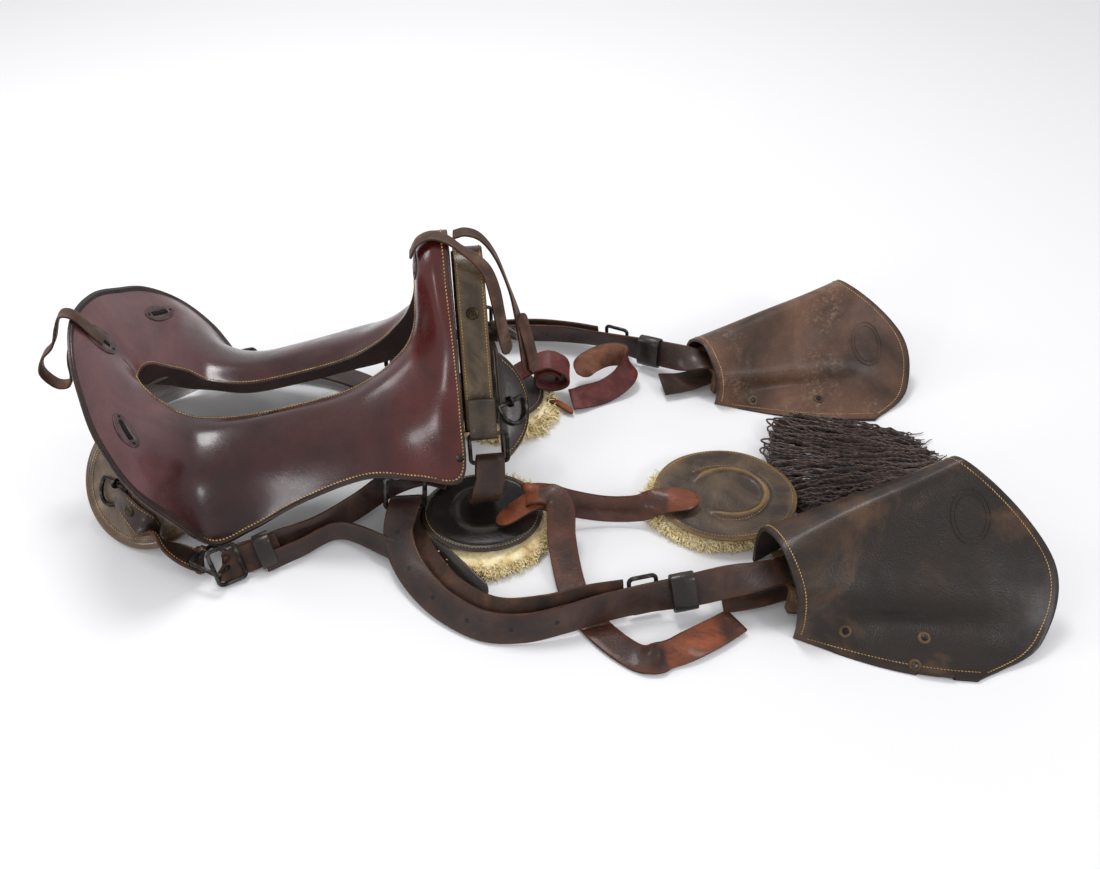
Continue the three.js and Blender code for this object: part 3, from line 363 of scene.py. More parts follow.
def leather(name, dark, mid, light, rough=0.45, coat=0.0, grain=650, grain_depth=0.25, mottle=14,
            wrinkle=0.35, worn=None, scuff=None, scuff_at=0.62, dust=None, bare=None, tinted=False,
            holes=False, speckle=0.5):
    """Mottled leather. worn colours the edges that the mesh's wear value names, scuff its streaks,
    dust its clouds of flecks, and bare the stretches where its dye is worn off."""
    s = Shade(name)
    big = s.noise(mottle, 6, 0.6, distortion=0.6)
    colour = s.tones(big, (0.3, 0.52, 0.74), dark, mid, light)
    if tinted:
        colour = s.mix(1.0, colour, s.colour("tint"), "MULTIPLY")
    fine = s.ramp(s.noise(420, 3), (0.25, 1 - speckle * 0.4), (0.75, 1.0))
    colour = s.mix(1.0, colour, fine, "MULTIPLY")
    streak = s.noise(60, 5, 0.7, at=s.stretch(0.35, 1.6, 1.0, 0.4))
    if scuff:
        mask = s.ramp(streak, (scuff_at, 0.0), (scuff_at + 0.14, 0.75))
        colour = s.mix(mask, colour, srgb(*scuff))
    if bare:
        patch = s.calc("ADD", s.value("bare"), s.calc("MULTIPLY", s.calc("SUBTRACT", big, 0.5), 0.9))
        colour = s.mix(s.ramp(patch, (0.35, 0.0), (0.65, 1.0)), colour,
                       s.tones(streak, (0.3, 0.7), darker(bare, 0.5), bare))
    if dust:
        cloud = s.ramp(s.noise(9, 4, 0.6, distortion=0.5), (0.48, 0.0), (0.66, 1.0))
        fleck = s.calc("MULTIPLY", cloud, s.ramp(s.noise(170, 6, 0.75), (0.5, 0.0), (0.62, 0.8)))
        colour = s.mix(fleck, colour, srgb(*dust))
    if worn:
        edge = s.calc("MULTIPLY", s.value("wear"), s.ramp(s.noise(55, 5, 0.7), (0.25, 0.35), (0.62, 1.0)))
        colour = s.mix(edge, colour, srgb(*worn))
    cells = s.add("ShaderNodeTexVoronoi", {"Vector": s.at, "Scale": grain, "Randomness": 1.0},
                  feature="SMOOTH_F1")
    creases = s.noise(95, 6, 0.65, distortion=1.2)
    layers = [(creases, wrinkle), (cells.outputs["Distance"], grain_depth), (streak, wrinkle * 0.5)]
    rough_map = s.between(s.noise(38, 5, 0.6), max(rough - 0.1, 0.05), min(rough + 0.14, 1))
    # Buckle holes: a dark dot of painted shade and a small dent, spaced along the strap's run
    if holes:
        run = s.add("ShaderNodeUVMap", uv_map="run").outputs["UV"]
        run = s.add("ShaderNodeSeparateXYZ", {"Vector": run}).outputs
        step = s.calc("SUBTRACT", s.calc("FRACT", s.calc("DIVIDE", run[0], HOLE_PITCH)), 0.5)
        step = s.calc("MULTIPLY", step, HOLE_PITCH)
        away = s.calc("ADD", s.calc("MULTIPLY", step, step), s.calc("MULTIPLY", run[1], run[1]))
        away = s.calc("MULTIPLY", s.calc("SQRT", away), 0.5 / HOLE_R)
        hole = s.calc("MULTIPLY", s.ramp(away, (0.46, 1.0), (0.54, 0.0)), s.value("holed"))
        colour = s.mix(hole, colour, srgb(*HOLE_SHADE))
        layers.append((hole, -1.2))
    s.link("Base Color", colour)
    s.link("Roughness", rough_map)
    s.bsdf.inputs["Specular IOR Level"].default_value = 0.34
    s.bsdf.inputs["Coat Weight"].default_value = coat
    s.bsdf.inputs["Coat Roughness"].default_value = 0.16
    s.bump(*layers)
    return s.mat


def iron(name, tone=(46, 44, 42), bright=(120, 116, 110), rust=(78, 50, 34), rough=0.42, metal=0.85):
    s = Shade(name)
    colour = s.tones(s.noise(90, 6, 0.65), (0.3, 0.5, 0.72), darker(tone, 0.6), tone, bright)
    colour = s.mix(s.ramp(s.noise(140, 5, 0.7), (0.56, 0.0), (0.7, 0.7)), colour, srgb(*rust))
    s.link("Base Color", colour)
    s.bsdf.inputs["Metallic"].default_value = metal
    s.link("Roughness", s.between(s.noise(160, 4), rough - 0.12, rough + 0.2))
    s.bump((s.noise(380, 5, 0.7), 0.18))
    return s.mat


def fibre(name, dark, mid, light, stain, scale=60):
    s = Shade(name)
    colour = s.tones(s.noise(scale, 6, 0.7), (0.3, 0.5, 0.7), dark, mid, light)
    colour = s.mix(s.ramp(s.noise(22, 5, 0.65), (0.56, 0.0), (0.7, 0.75)), colour, srgb(*stain))
    s.link("Base Color", colour)
    s.bsdf.inputs["Roughness"].default_value = 0.95
    s.bsdf.inputs["Sheen Weight"].default_value = 0.35
    s.bump((s.noise(900, 4), 0.3))
    return s.mat


def wood(name, dark, mid, light):
    s = Shade(name)
    growth = s.noise(30, 8, 0.6, at=s.stretch(0.25, 4, 4), distortion=0.8)
    s.link("Base Color", s.tones(growth, (0.3, 0.5, 0.7), dark, mid, light))
    s.link("Roughness", s.ramp(growth, (0.3, 0.55), (0.7, 0.75)))
    s.bump((growth, 0.3))
    return s.mat


SEAT = leather("seat_leather", (150, 138, 140), (215, 208, 208), (255, 246, 240), rough=0.27,
               coat=0.36, grain=800, grain_depth=0.1, mottle=11, wrinkle=0.14, worn=(28, 15, 14),
               tinted=True, speckle=0.35)
UNDER = leather("under_leather", (34, 22, 20), (48, 32, 28), (66, 46, 38), rough=0.6)
# Rear skirts' leather, painted lighter than the front skirts' darker copy as a painted reflection of light
# off its gloss
SKIRT_PAINTED_SHEEN = leather("skirt_leather", (66, 51, 40), (110, 92, 77), (150, 132, 114), rough=0.32, coat=0.5,
                worn=(96, 70, 40), scuff=(128, 116, 98), mottle=24)
SKIRT_DARK = leather("skirt_leather_dark", (24, 17, 15), (40, 29, 25), (62, 46, 38), rough=0.36,
                     coat=0.3, worn=(74, 54, 34), mottle=24)
STRAP = leather("strap_leather", (30, 18, 15), (50, 32, 26), (78, 52, 40), rough=0.42, coat=0.15,
                worn=(66, 40, 26), scuff=(112, 84, 62), scuff_at=0.66, bare=(128, 70, 42), holes=True,
                mottle=22)
COAT = leather("coat_leather", (44, 29, 23), (80, 56, 44), (128, 99, 82), rough=0.58, wrinkle=0.5,
               mottle=24, worn=(104, 68, 46))
FLESH = leather("strap_flesh", (34, 20, 15), (58, 36, 25), (92, 58, 38), rough=0.66, wrinkle=0.5,
                mottle=30, bare=(128, 70, 42))
EDGE = leather("strap_edge", (36, 20, 14), (66, 36, 22), (110, 62, 34), rough=0.6, mottle=40)
LATIGO = leather("latigo_leather", (40, 20, 15), (70, 40, 30), (108, 66, 50), rough=0.42, coat=0.15,
                 wrinkle=0.9, scuff=(128, 88, 70), scuff_at=0.66, mottle=26, worn=(92, 46, 26),
                 bare=(148, 76, 42))
LATIGO_RED = leather("latigo_red", (50, 16, 17), (92, 34, 34), (128, 66, 58), rough=0.46, wrinkle=0.6,
                     mottle=30, scuff=(150, 100, 88))
TAN = leather("latigo_tan", (84, 50, 36), (128, 82, 60), (164, 116, 90), rough=0.6, wrinkle=0.6,
              mottle=30, scuff=(180, 140, 112))
ORANGE = leather("latigo_flesh", (72, 32, 18), (122, 60, 32), (164, 92, 54), rough=0.62, wrinkle=0.6,
                 mottle=30, scuff=(62, 30, 18), scuff_at=0.6)
HOOD_NEAR = leather("hood_leather", (18, 12, 8), (38, 26, 18), (100, 72, 50), rough=0.46, coat=0.1,
                    mottle=9, worn=(30, 22, 17), scuff=(104, 84, 62), scuff_at=0.7, wrinkle=0.3,
                    speckle=0.6)
HOOD_FAR = leather("hood_leather_far", (54, 37, 28), (101, 70, 54), (140, 107, 86), rough=0.5,
                   coat=0.05, mottle=10, worn=(36, 24, 18), dust=(150, 130, 112), speckle=0.7)
BLACK = leather("black_leather", (20, 14, 14), (34, 25, 25), (62, 47, 45), rough=0.36, coat=0.25,
                wrinkle=0.5, worn=(52, 42, 32))
FACING = leather("facing_leather", (24, 19, 14), (46, 37, 28), (84, 68, 50), rough=0.4, coat=0.2,
                 scuff=(92, 78, 60), scuff_at=0.66, worn=(74, 60, 44))
FACING_WORN = leather("facing_strap_leather", (34, 27, 20), (66, 54, 41), (128, 108, 84), rough=0.4,
                      coat=0.2, wrinkle=0.5, mottle=16, worn=(120, 92, 52))
WASHER = leather("washer", (60, 44, 30), (92, 70, 48), (120, 96, 68), rough=0.6, mottle=60)
KEEPER = leather("keeper_leather", (18, 14, 13), (32, 25, 22), (56, 44, 36), rough=0.36, coat=0.25,
                 worn=(50, 38, 28))
WELT = leather("welt_leather", (24, 13, 11), (42, 24, 19), (76, 50, 38), rough=0.24, coat=0.4,
               wrinkle=0.2)
CINCHA = leather("cincha_leather", (28, 19, 15), (55, 41, 31), (112, 90, 66), rough=0.42, coat=0.12,
                 mottle=11, worn=(128, 98, 58), wrinkle=0.7)
IRON = iron("japanned_iron")
PLATE = iron("plate_iron", tone=(74, 56, 56), bright=(98, 78, 76), rust=(58, 40, 38), rough=0.32,
             metal=0.25)
DARK = leather("slot_shadow", (4, 3, 3), (6, 5, 5), (9, 8, 8), rough=0.9)
BRASS = iron("aged_brass", tone=(50, 42, 30), bright=(104, 88, 60), rust=(56, 46, 34), rough=0.35)
FLEECE = fibre("sheepskin", (196, 166, 104), (240, 222, 172), (255, 246, 218), (176, 132, 66))
MOHAIR = fibre("mohair", (28, 17, 13), (54, 35, 27), (88, 62, 50), (34, 21, 16), scale=120)
ASH = wood("ash_wood", (52, 35, 22), (84, 60, 38), (112, 82, 52))
THREAD = leather("gold_thread", (134, 100, 58), (198, 160, 102), (232, 200, 142), rough=0.7, mottle=60,
                 grain_depth=0.05)


# ---- seat ----------------------------------------------------------------------------------------
# Lofted from half-breadth stations, from the pommel to the cantle. Each has the slot's edge, two
# crown points, the outer edge and the foot of the slot's wall.
STATIONS = A(
    [[152, 0, 250], [156, 0, 285], [172, 0, 304], [191, 0, 306], [192, 0, 252]],
    [[151, 16, 240], [157, 24, 272], [173, 28, 292], [191, 22, 298], [192, 16, 242]],
    [[148, 26, 216], [158, 38, 240], [174, 50, 256], [192, 55, 248], [192, 27, 218]],
    [[143, 28, 200], [154, 46, 211], [174, 68, 212], [192, 88, 190], [191, 30, 196]],
    [[136, 28, 186], [150, 55, 192], [172, 90, 178], [192, 120, 143], [186, 34, 168]],
    [[124, 28, 171], [138, 60, 176], [163, 112, 148], [187, 154, 88], [160, 38, 134]],
    [[100, 28, 148], [106, 60, 153], [124, 108, 130], [140, 147, 87], [108, 32, 117]],
    [[60, 28, 126], [63, 60, 133], [74, 105, 119], [84, 142, 91], [62, 30, 108]],
    [[0, 28, 110], [2, 58, 121], [6, 104, 103], [10, 143, 64], [0, 30, 94]],
    [[-60, 28, 101], [-58, 60, 110], [-55, 110, 88], [-50, 152, 36], [-60, 30, 85]],
    [[-105, 32, 107], [-103, 70, 112], [-99, 125, 90], [-92, 165, 31], [-106, 36, 89]],
    [[-126, 35, 120], [-127, 80, 126], [-128, 135, 116], [-123, 175, 86], [-132, 38, 92]],
    [[-141, 30, 131], [-142, 80, 140], [-148, 130, 146], [-153, 170, 132], [-150, 34, 102]],
    [[-151, 26, 139], [-154, 65, 146], [-165, 108, 160], [-180, 140, 174], [-164, 28, 110]],
    [[-160, 20, 147], [-166, 45, 160], [-180, 74, 180], [-197, 100, 201], [-176, 20, 118]],
    [[-167, 10, 150], [-175, 24, 170], [-190, 40, 196], [-210, 55, 225], [-184, 10, 122]],
    [[-171, 0, 146], [-180, 0, 172], [-196, 0, 202], [-217, 0, 234], [-188, 0, 122]],
)
LAST = len(STATIONS) - 1
SIDE_ROWS = 120  # rows of the grid from the pommel to the cantle
TOP, UNDERNEATH, WALL = 32, 12, 4  # columns of the top, the underside and the slot's wall
ROW = SIDE_ROWS / LAST  # rows between two stations
CANTLE_FROM, CANTLE_BULGE = 11, 11


def station(k, side):
    """Stations by number; past either end they are those of the other side."""
    over = (k < 0) | (k > LAST)
    folded = np.where(k < 0, -k, np.where(k > LAST, 2 * LAST - k, k))
    s = STATIONS[folded].copy()
    s[..., 1] *= np.where(over, -side, side)[:, None]
    return s


def section(at, side):
    """Closed cross-sections of the seat at fractional stations."""
    i = np.minimum(at.astype(int), LAST - 1)
    f = (at - i)[:, None, None]
    rails = bend(station(i - 1, side), station(i, side), station(i + 1, side), station(i + 2, side), f)
    edge, crown_in, crown_out, rim, foot = (rails[:, k] for k in range(5))
    t = np.linspace(0, 1, TOP + 1)
    top = np.moveaxis(along(np.stack([edge, crown_in, crown_out, rim]), t), 0, 1)
    middle = (rim + foot) / 2
    s = np.clip((at - CANTLE_FROM) / 3, 0, 1)
    swell = (s * s * (3 - 2 * s) * CANTLE_BULGE)[:, None]
    middle = middle + unit(middle - (crown_in + crown_out) / 2) * swell
    under = np.moveaxis(along(np.stack([rim, middle, foot]), np.linspace(0, 1, UNDERNEATH + 1)[1:]), 0, 1)
    wall = foot[:, None] + (edge - foot)[:, None] * np.linspace(0, 1, WALL + 1)[None, 1:-1, None]
    return np.concatenate([top, under, wall], 1)


row_number = np.arange(2 * SIDE_ROWS)
near_half = row_number <= SIDE_ROWS
row_at = np.where(near_half, row_number, 2 * SIDE_ROWS - row_number) * LAST / SIDE_ROWS
ring = section(row_at, np.where(near_half, -1.0, 1.0))
ring_n = grid_normals(ring, True, True, ring.mean(1, keepdims=True))
ROWS, COLS = ring.shape[:2]


def skin(c0, c1, thick):
    """A closed band of leather between two columns: outer grid, then the inner one reversed."""
    cols = np.arange(c0, c1 + 1) % COLS
    outer, n = ring[:, cols], ring_n[:, cols]
    inner = outer - n * thick
    return np.concatenate([outer, inner[:, ::-1]], 1), np.concatenate([cols, cols[::-1]])


SIDE_TINT, PAD_TINT, LEG_TINT = (A(*srgb(*rgb)[:3]) for rgb in ((70, 28, 29), (114, 76, 79), (100, 31, 27)))


def seat_tint(p):
    """Tint of the seat by place: purple-brown cantle, dark sides, redder pommel leg, and darker towards the
    bottom of the sides.
    """
    x, z = p[:, 0], p[:, 2]
    cantle = np.clip((-x - 95) / 45, 0, 1) * np.clip((z - 70) / 50, 0, 1)
    leg = np.clip((x - 105) / 40, 0, 1)
    low = np.clip((95 - z) / 60, 0, 1)
    tint = SIDE_TINT + (PAD_TINT - SIDE_TINT) * cantle[:, None]
    tint = tint + (LEG_TINT - tint) * (leg * 0.85)[:, None]
    # darker towards the bottom of the sides, up to 38% below 95 mm, leaving the cantle as it is
    return tint * (1 - 0.38 * low * (1 - cantle))[:, None]


WORN_COLS = 1.6  # columns of the grid over which the wear of an edge fades


def cover(name, c0, c1, mat, slot, replaced, top):
    """One half of the seat's skin; only the top has worn edges and a tint."""
    g, cols = skin(c0, c1, COVER)
    flat = g.reshape(-1, 3)
    from_edge = np.minimum(cols - c0, c1 - cols) if top else np.full(len(cols), WORN_COLS * 2)
    floats = {"wear": np.tile(np.clip(1 - from_edge / WORN_COLS, 0, 1), ROWS)}
    if top:
        floats["tint"] = seat_tint(flat)
    piece(name, on_saddle(flat), grid_faces(ROWS, g.shape[1], True, True), mat, "saddle", slot, [replaced],
          floats=floats, bevel=0.9)


cover("seat_top", 0, TOP, SEAT, "seat_leather", "seat_cover", True)
cover("seat_under", TOP, COLS, UNDER, "underside_leather", "underside_cover", False)


def on_cover(row, col, lift=0.0):
    """Points and normals of the seat at fractional rows and columns."""
    row, col = np.broadcast_arrays(np.atleast_1d(row), np.atleast_1d(col))
    r, c = np.floor(row).astype(int), np.floor(col).astype(int)
    fr, fc = (row - r)[:, None], (col - c)[:, None]

    def pick(g):
        g = np.concatenate([g, g[:, :1]], 1)
        a = g[r % ROWS, c] * (1 - fc) + g[r % ROWS, c + 1] * fc
        b = g[(r + 1) % ROWS, c] * (1 - fc) + g[(r + 1) % ROWS, c + 1] * fc
        return a * (1 - fr) + b * fr
    n = unit(pick(ring_n))
    return on_saddle(pick(ring) + n * lift), turn(n)


gold = Soup()


def seam(rows, col, inset, pitch, thick):
    """Stitches a set distance in from an edge column of the seat."""
    step = 1 if col == 0 else -1
    a, b = (ring[rows.astype(int) % ROWS, c] for c in (col, col + step))
    p, n = on_cover(rows, col + step * inset / np.linalg.norm(b - a, axis=1), 0.1)
    stitches(gold, p, n, pitch, 2.5, thick)


def rows_between(a, b):
    """Rows of the near and the far side between two stations."""
    near = np.arange(a * ROW, b * ROW + 0.01, 1.0)
    return near, 2 * SIDE_ROWS - near


LEG_TO, RIM_TO = 5.6, 10.8  # stations where the pommel leg ends and where the side rim ends
seam(np.arange(0.0, ROWS + 1), 0, 3.4, 3.2, 0.7)
for rows in rows_between(0.05, LEG_TO):
    seam(rows, TOP, 6.0, 3.8, 0.85)
for rows in rows_between(LEG_TO, RIM_TO):
    seam(rows, TOP, 6.5, 3.8, 0.95)

# The welt along the cantle rim, the bead beside it, a thin dark tube sunk into the crease of the centre line
# as painted shade, and the piping of the sides.
welts = Soup()
cantle = 10.2 * ROW
rows = np.arange(cantle, 2 * SIDE_ROWS - cantle + 1)
ends = np.clip(np.minimum(np.arange(len(rows)), np.arange(len(rows))[::-1]) / 4, 0.25, 1)
welts.add(*tube_mesh(on_cover(rows, TOP)[0], 1.4 * ends, 12))
welts.add(*tube_mesh(on_cover(rows, TOP + 0.75, 0.1)[0], 1.0 * ends, 8))
stitches(gold, *on_cover(rows[3:-3], TOP + 0.45, 0.2), 3.2, 2.4, 0.62)
# Painted shade: a thin dark tube, mostly sunk, along the crease of the cantle's centre line
welts.add(*tube_mesh(on_cover(SIDE_ROWS, np.linspace(2.5, 10.8, 30), -0.1)[0], 0.5, 8))
for rows in rows_between(0.0, 10.6):
    welts.add(*tube_mesh(on_cover(rows, TOP + 0.3)[0], 1.3, 8))
welts.make("seat_welts", [WELT], "saddle", "black_leather")

seat_tree = BVHTree.FromPolygons([Vector(v) for v in on_saddle(ring.reshape(-1, 3))],
                                 grid_faces(ROWS, COLS, True, True))


DROP_FROM = 40  # height over a surface from which points are dropped


def drape(points, normal, tree):
    """Points dropped along a direction onto a surface."""
    out = []
    for p in points:
        hit = tree.ray_cast(Vector(p + normal * DROP_FROM), Vector(-normal))[0]
        out.append(np.array(hit) if hit else p)
    return np.array(out)


# ---- slotted plates ------------------------------------------------------------------------------
PLATE_POINTS = 56
SLOT_SHARE = 0.56  # length of the slot as a share of the plate's
SLOT_W = 6.0
SLOT_ROUND = 0.22  # lower is squarer
# Section from the slot to the rim: share of the way, and height.
PLATE_SECTION = ((0, -0.4), (0, 1.2), (0.12, 1.6), (0.5, 1.5), (0.68, 1.45), (0.74, 1.0), (0.8, 1.35),
                 (0.95, 1.2), (1.0, 0.6), (1.0, -0.4))
PLATE_SCREW = ((0.01, 0.55), (1.1, 0.5), (1.7, 0.1), (1.8, -0.6))


def plate(soup, row, col, long, wide, turned):
    """A slotted oval on the seat; turned puts its length across the seat's rows."""
    at, n = (v[0] for v in on_cover(row, col))
    n = unit(n)
    ahead = on_cover(row + 1.0, col)[0][0] - at
    x = unit(ahead - n * np.dot(ahead, n))
    y = np.cross(n, x)
    if turned:
        x, y = y, -x
    a = circle(PLATE_POINTS)
    outer = np.stack([np.cos(a) * long / 2, np.sin(a) * wide / 2], 1)
    half = long * SLOT_SHARE / 2
    inner = np.stack([np.sign(w) * np.abs(w) ** SLOT_ROUND * size
                      for w, size in ((np.cos(a), half), (np.sin(a), SLOT_W / 2))], 1)

    def laid(flat):
        return drape(at + flat[:, :1] * x + flat[:, 1:] * y, n, seat_tree)
    verts = [laid(inner + (outer - inner) * s) + n * h for s, h in PLATE_SECTION]
    soup.add(np.concatenate(verts), grid_faces(len(verts), PLATE_POINTS, True, True))
    p = laid(inner) + n * 0.9
    ends = [list(range(PLATE_POINTS)), list(range(2 * PLATE_POINTS - 1, PLATE_POINTS - 1, -1))]
    soup.add(np.concatenate([p, p - n * 1.1]), ends + grid_faces(2, PLATE_POINTS, False, True), 1)
    for end in (-1, 1):
        c = drape([at + x * end * (long / 2 + half) / 2], n, seat_tree)[0] + n * 1.5
        soup.add(*lathe_mesh(c, n, PLATE_SCREW, 14), 1)


plates = Soup()
for row, col, long, wide, turned in ((21, 5.1, 46, 22, False), (31, 5.1, 46, 22, False),
                                     (26, 5.3, 42, 30, True), (0, 1.6, 40, 30, False)):
    plate(plates, row * SIDE_ROWS / 26, col * TOP / 8, long, wide, turned)
plates.make("slotted_plates", [PLATE, DARK], "saddle", "iron",
            stands_for=["cantle_plate_near", "cantle_plate_far", "cantle_plate_centre", "pommel_shield"])


# ---- straps --------------------------------------------------------------------------------------
def strap_frames(stops, count, place=on_set, turning=None):
    """Points of a strap's middle, with its way, its direction across and its face. A stop is a
    point and the direction across the strap there."""
    stops = A(*stops)
    places, ways = place(stops[:, :3]), stops[:, 3:]
    if turning:
        ways = turning(ways)
    t = np.linspace(0, 1, count)
    way = unit(along(places, np.minimum(t + 0.002, 1)) - along(places, np.maximum(t - 0.002, 0)))
    across = along(ways, t)
    across = unit(across - way * np.sum(across * way, 1, keepdims=True))
    return along(places, t), way, across, np.cross(way, across)


# Face of each strip of a strap's section: 0 the grain side, 1 the flesh side, 2 an edge.
STRAP_SIDES = [0] * 6 + [2, 2, 2, 1, 1, 2, 2, 2]
BARE_FADE = 0.05  # share of a strap over which a bare stretch fades
TIP_WIDTH = 0.12  # width left at the end of a point


def strap(name, frames, width, mats, slot, thick=STRAP_T, stands_for=(), tip=0.0, tail=0.0, holed=(1, 1),
          flip=False, front=(), back=()):
    """A leather strap: grain side, flesh side and burnished edges. tip and tail are the lengths of
    the points at its far and near ends; holed is a pair of shares of its route between which it has
    buckle holes; front and back are shares where the dye is worn off that side."""
    p, _, across, face = frames
    if flip:
        across, face = -across, -face
    run = np.concatenate([[0], np.cumsum(np.linalg.norm(np.diff(p, axis=0), axis=1))])
    half, t = width / 2, thick / 2
    profile = A([half - 0.6, t * 0.86], [half - 1.6, t], [half * 0.45, t + 0.12], [0, t + 0.15],
                [-half * 0.45, t + 0.12], [-(half - 1.6), t], [-(half - 0.6), t * 0.86], [-half, t * 0.3],
                [-half, -t * 0.3], [-(half - 0.7), -t], [0, -t], [half - 0.7, -t], [half, -t * 0.3],
                [half, t * 0.3])
    n, k = len(p), len(profile)
    narrow = np.ones(n)
    for long, left in ((tip, run[-1] - run), (tail, run)):
        if long:
            narrow *= np.maximum(np.sqrt(1 - (1 - np.clip(left / long, 0, 1)) ** 2), TIP_WIDTH)
    w = profile[None, :, 0] * narrow[:, None]
    verts = p[:, None] + across[:, None] * w[..., None] + face[:, None] * profile[None, :, 1, None]
    share = np.linspace(0, 1, n)
    bare = np.zeros((n, k))
    for ranges, columns in ((front, slice(0, 8)), (back, slice(8, 14))):
        for a, b in ranges:
            inside = np.minimum(share - a, b - share) / BARE_FADE + 0.5
            bare[:, columns] += np.clip(inside, 0, 1)[:, None]
    uv = np.stack([np.repeat(run, k), w.ravel()], 1) * MM
    at = np.arange(n) / n
    floats = {"wear": np.clip(np.abs(w) / half * 3 - 2.1, 0, 1).ravel(),
              "holed": np.repeat((holed[0] < at) & (at < holed[1]), k), "bare": bare.ravel()}
    piece(name, verts, capped(n, k), mats, "saddle", slot, stands_for, slots=STRAP_SIDES * (n - 1) + [2, 2],
          uv=uv, floats=floats)


BROWN = [STRAP, FLESH, EDGE]
FACING_OUT = A([0, 280], [20, 273], [42, 251], [60, 217], [80, 181], [100, 146], [112, 122])
FACING_IN = A([84, 118], [52, 150], [36, 185], [28, 216], [17, 238], [0, 247])
FACING_X, FACING_DEPTH = 194, 33
OUTLINE = np.concatenate([FACING_OUT[1:][::-1] * A(-1, 1), FACING_OUT])
INLINE = np.concatenate([FACING_IN[:-1] * A(-1, 1), FACING_IN[::-1]])
# Section of the facing from its outer to its inner line: depth, share of the way, and wear.
FACING_FRONT = FACING_X + FACING_DEPTH
FACING_SECTION = ((FACING_X, 0, 0), (FACING_FRONT - 4, 0, 0.3), (FACING_FRONT - 1.2, 0.03, 0.9),
                  (FACING_FRONT, 0.1, 0.3), (FACING_FRONT, 0.35, 0), (FACING_FRONT - 0.6, 0.5, 0),
                  (FACING_FRONT, 0.65, 0), (FACING_FRONT, 0.9, 0.3), (FACING_FRONT - 1.2, 0.97, 0.9),
                  (FACING_FRONT - 4, 1, 0.3), (FACING_X, 1, 0))


def facing():
    """The dark leather arch in front of the seat, rounded at its front corners."""
    m = 110
    t = np.linspace(0, 1, m)
    out, inn = along(OUTLINE, t), along(INLINE, t)

    def line(x, s):
        return np.concatenate([np.full((m, 1), float(x)), out + (inn - out) * s], 1)
    g = np.stack([line(x, s) for x, s, _ in FACING_SECTION], 1)
    piece("pommel_facing_leather", on_saddle(g.reshape(-1, 3)), capped(m, len(FACING_SECTION)), FACING,
          "saddle", "black_leather", ["pommel_facing"],
          floats={"wear": np.tile([wear for _, _, wear in FACING_SECTION], m)})
    path = on_saddle(line(FACING_FRONT + 0.1, 0.07))[4:-4]
    stitches(gold, path, np.tile(turn([1, 0, 0]), (len(path), 1)), 3.6, 2.3, 0.35)


facing()


def facing_strap():
    """Stops of the strap that lies over the facing."""
    t = 0.01 + 0.98 * np.arange(19) / 18
    way = unit(along(OUTLINE, np.minimum(t + 1e-3, 1)) - along(OUTLINE, np.maximum(t - 1e-3, 0)))
    lift = 0.4 + STRAP_T / 2 + 0.3
    return [[FACING_X + 18, y - b * lift, z + a * lift, 1, 0, 0]
            for (y, z), (a, b) in zip(along(OUTLINE, t), way)]


EDGE_INSET = 3.2


def edge_lines(soup, p, across, up, width):
    """Stitched lines along both edges of a strap."""
    for s in (-1, 1):
        stitches(soup, p + across * s * (width / 2 - EDGE_INSET) + up * (STRAP_T / 2 + 0.12), up, 3.4, 2.4,
                 0.5)


GIRTH, STIRRUP_W = 32, 35  # widths of the quarter and latigo straps, and of the stirrup straps
p, way, across, face = f = strap_frames(facing_strap(), 130, on_saddle, turn)
up = face if face[len(face) // 2][2] > 0 else -face
strap("facing_strap", f, GIRTH, [FACING_WORN, FLESH, EDGE], "strap_leather", stands_for=["pommel_strap"],
      flip=up is not face)
edge_lines(gold, p, across, up, GIRTH)
FOLD = ((104, 146), (110, 134), (113.5, 126), (115.6, 121), (119.5, 119.3), (124, 122), (124.4, 128),
        (119.5, 136), (112, 149), (105, 162))
for side, sign in SIDES:
    g = strap_frames([[214, sign * y, z, 1, 0, 0] for y, z in FOLD], 60, on_saddle, turn)
    strap(f"facing_strap_fold_{side}", g, 30, [FACING, FACING, EDGE], "strap_leather", thick=3.0)

# Brass screws: radius and height from the middle outwards.
SCREW = ((0.01, 2.6), (2.0, 2.4), (3.6, 1.4), (4.2, 1.7), (6.0, 1.2), (7.0, 0.4), (7.2, -0.6))
LOW_SCREW = ((0.01, 2.4), (2.0, 2.2), (3.6, 1.3), (4.2, 1.6), (6.0, 1.1), (7.0, 0.3), (7.2, -0.5))
screws = Soup()
for spot in ([210, -50, 239], [216, -100, 147]):
    k = int(np.argmin(np.linalg.norm(p - on_saddle(spot), axis=1)))
    screws.add(*lathe_mesh(p[k] + up[k] * STRAP_T / 2, up[k], SCREW, 24))


# ---- skirts --------------------------------------------------------------------------------------
SKIRT_T = 7.0
# The rear skirts take the leather painted lighter for a painted reflection; the front skirts the darker copy
SKIRTS = {"rear": dict(centre=[-172, -84, 64.5], radius=80, normal=[-0.35, -0.66, 0.67], reach=62, mat=SKIRT_PAINTED_SHEEN),
          "front": dict(centre=[200, -84, 134], radius=75, normal=[0.35, -0.66, 0.67], reach=-38,
                        mat=SKIRT_DARK)}
SKIRT_POINTS = 90
SKIRT_GROOVE = 0.85  # share of the radius at which the edge is stitched
# Section of a skirt from its middle to its rim and back: share of the radius, height, and wear.
SKIRT_SECTION = ((0.03, 0.3, 0), (0.4, 0.6, 0), (0.8, 0.2, 0), (0.875, -0.5, 0.2), (0.9, -0.9, 0.4),
                 (0.92, 0.3, 0.7), (0.945, 1.0, 0.9), (0.97, 0.9, 1), (0.99, -0.4, 1), (1.0, -2.0, 0.7),
                 (1.0, -5.6, 0.3), (0.985, -SKIRT_T, 0), (0.03, -SKIRT_T, 0))


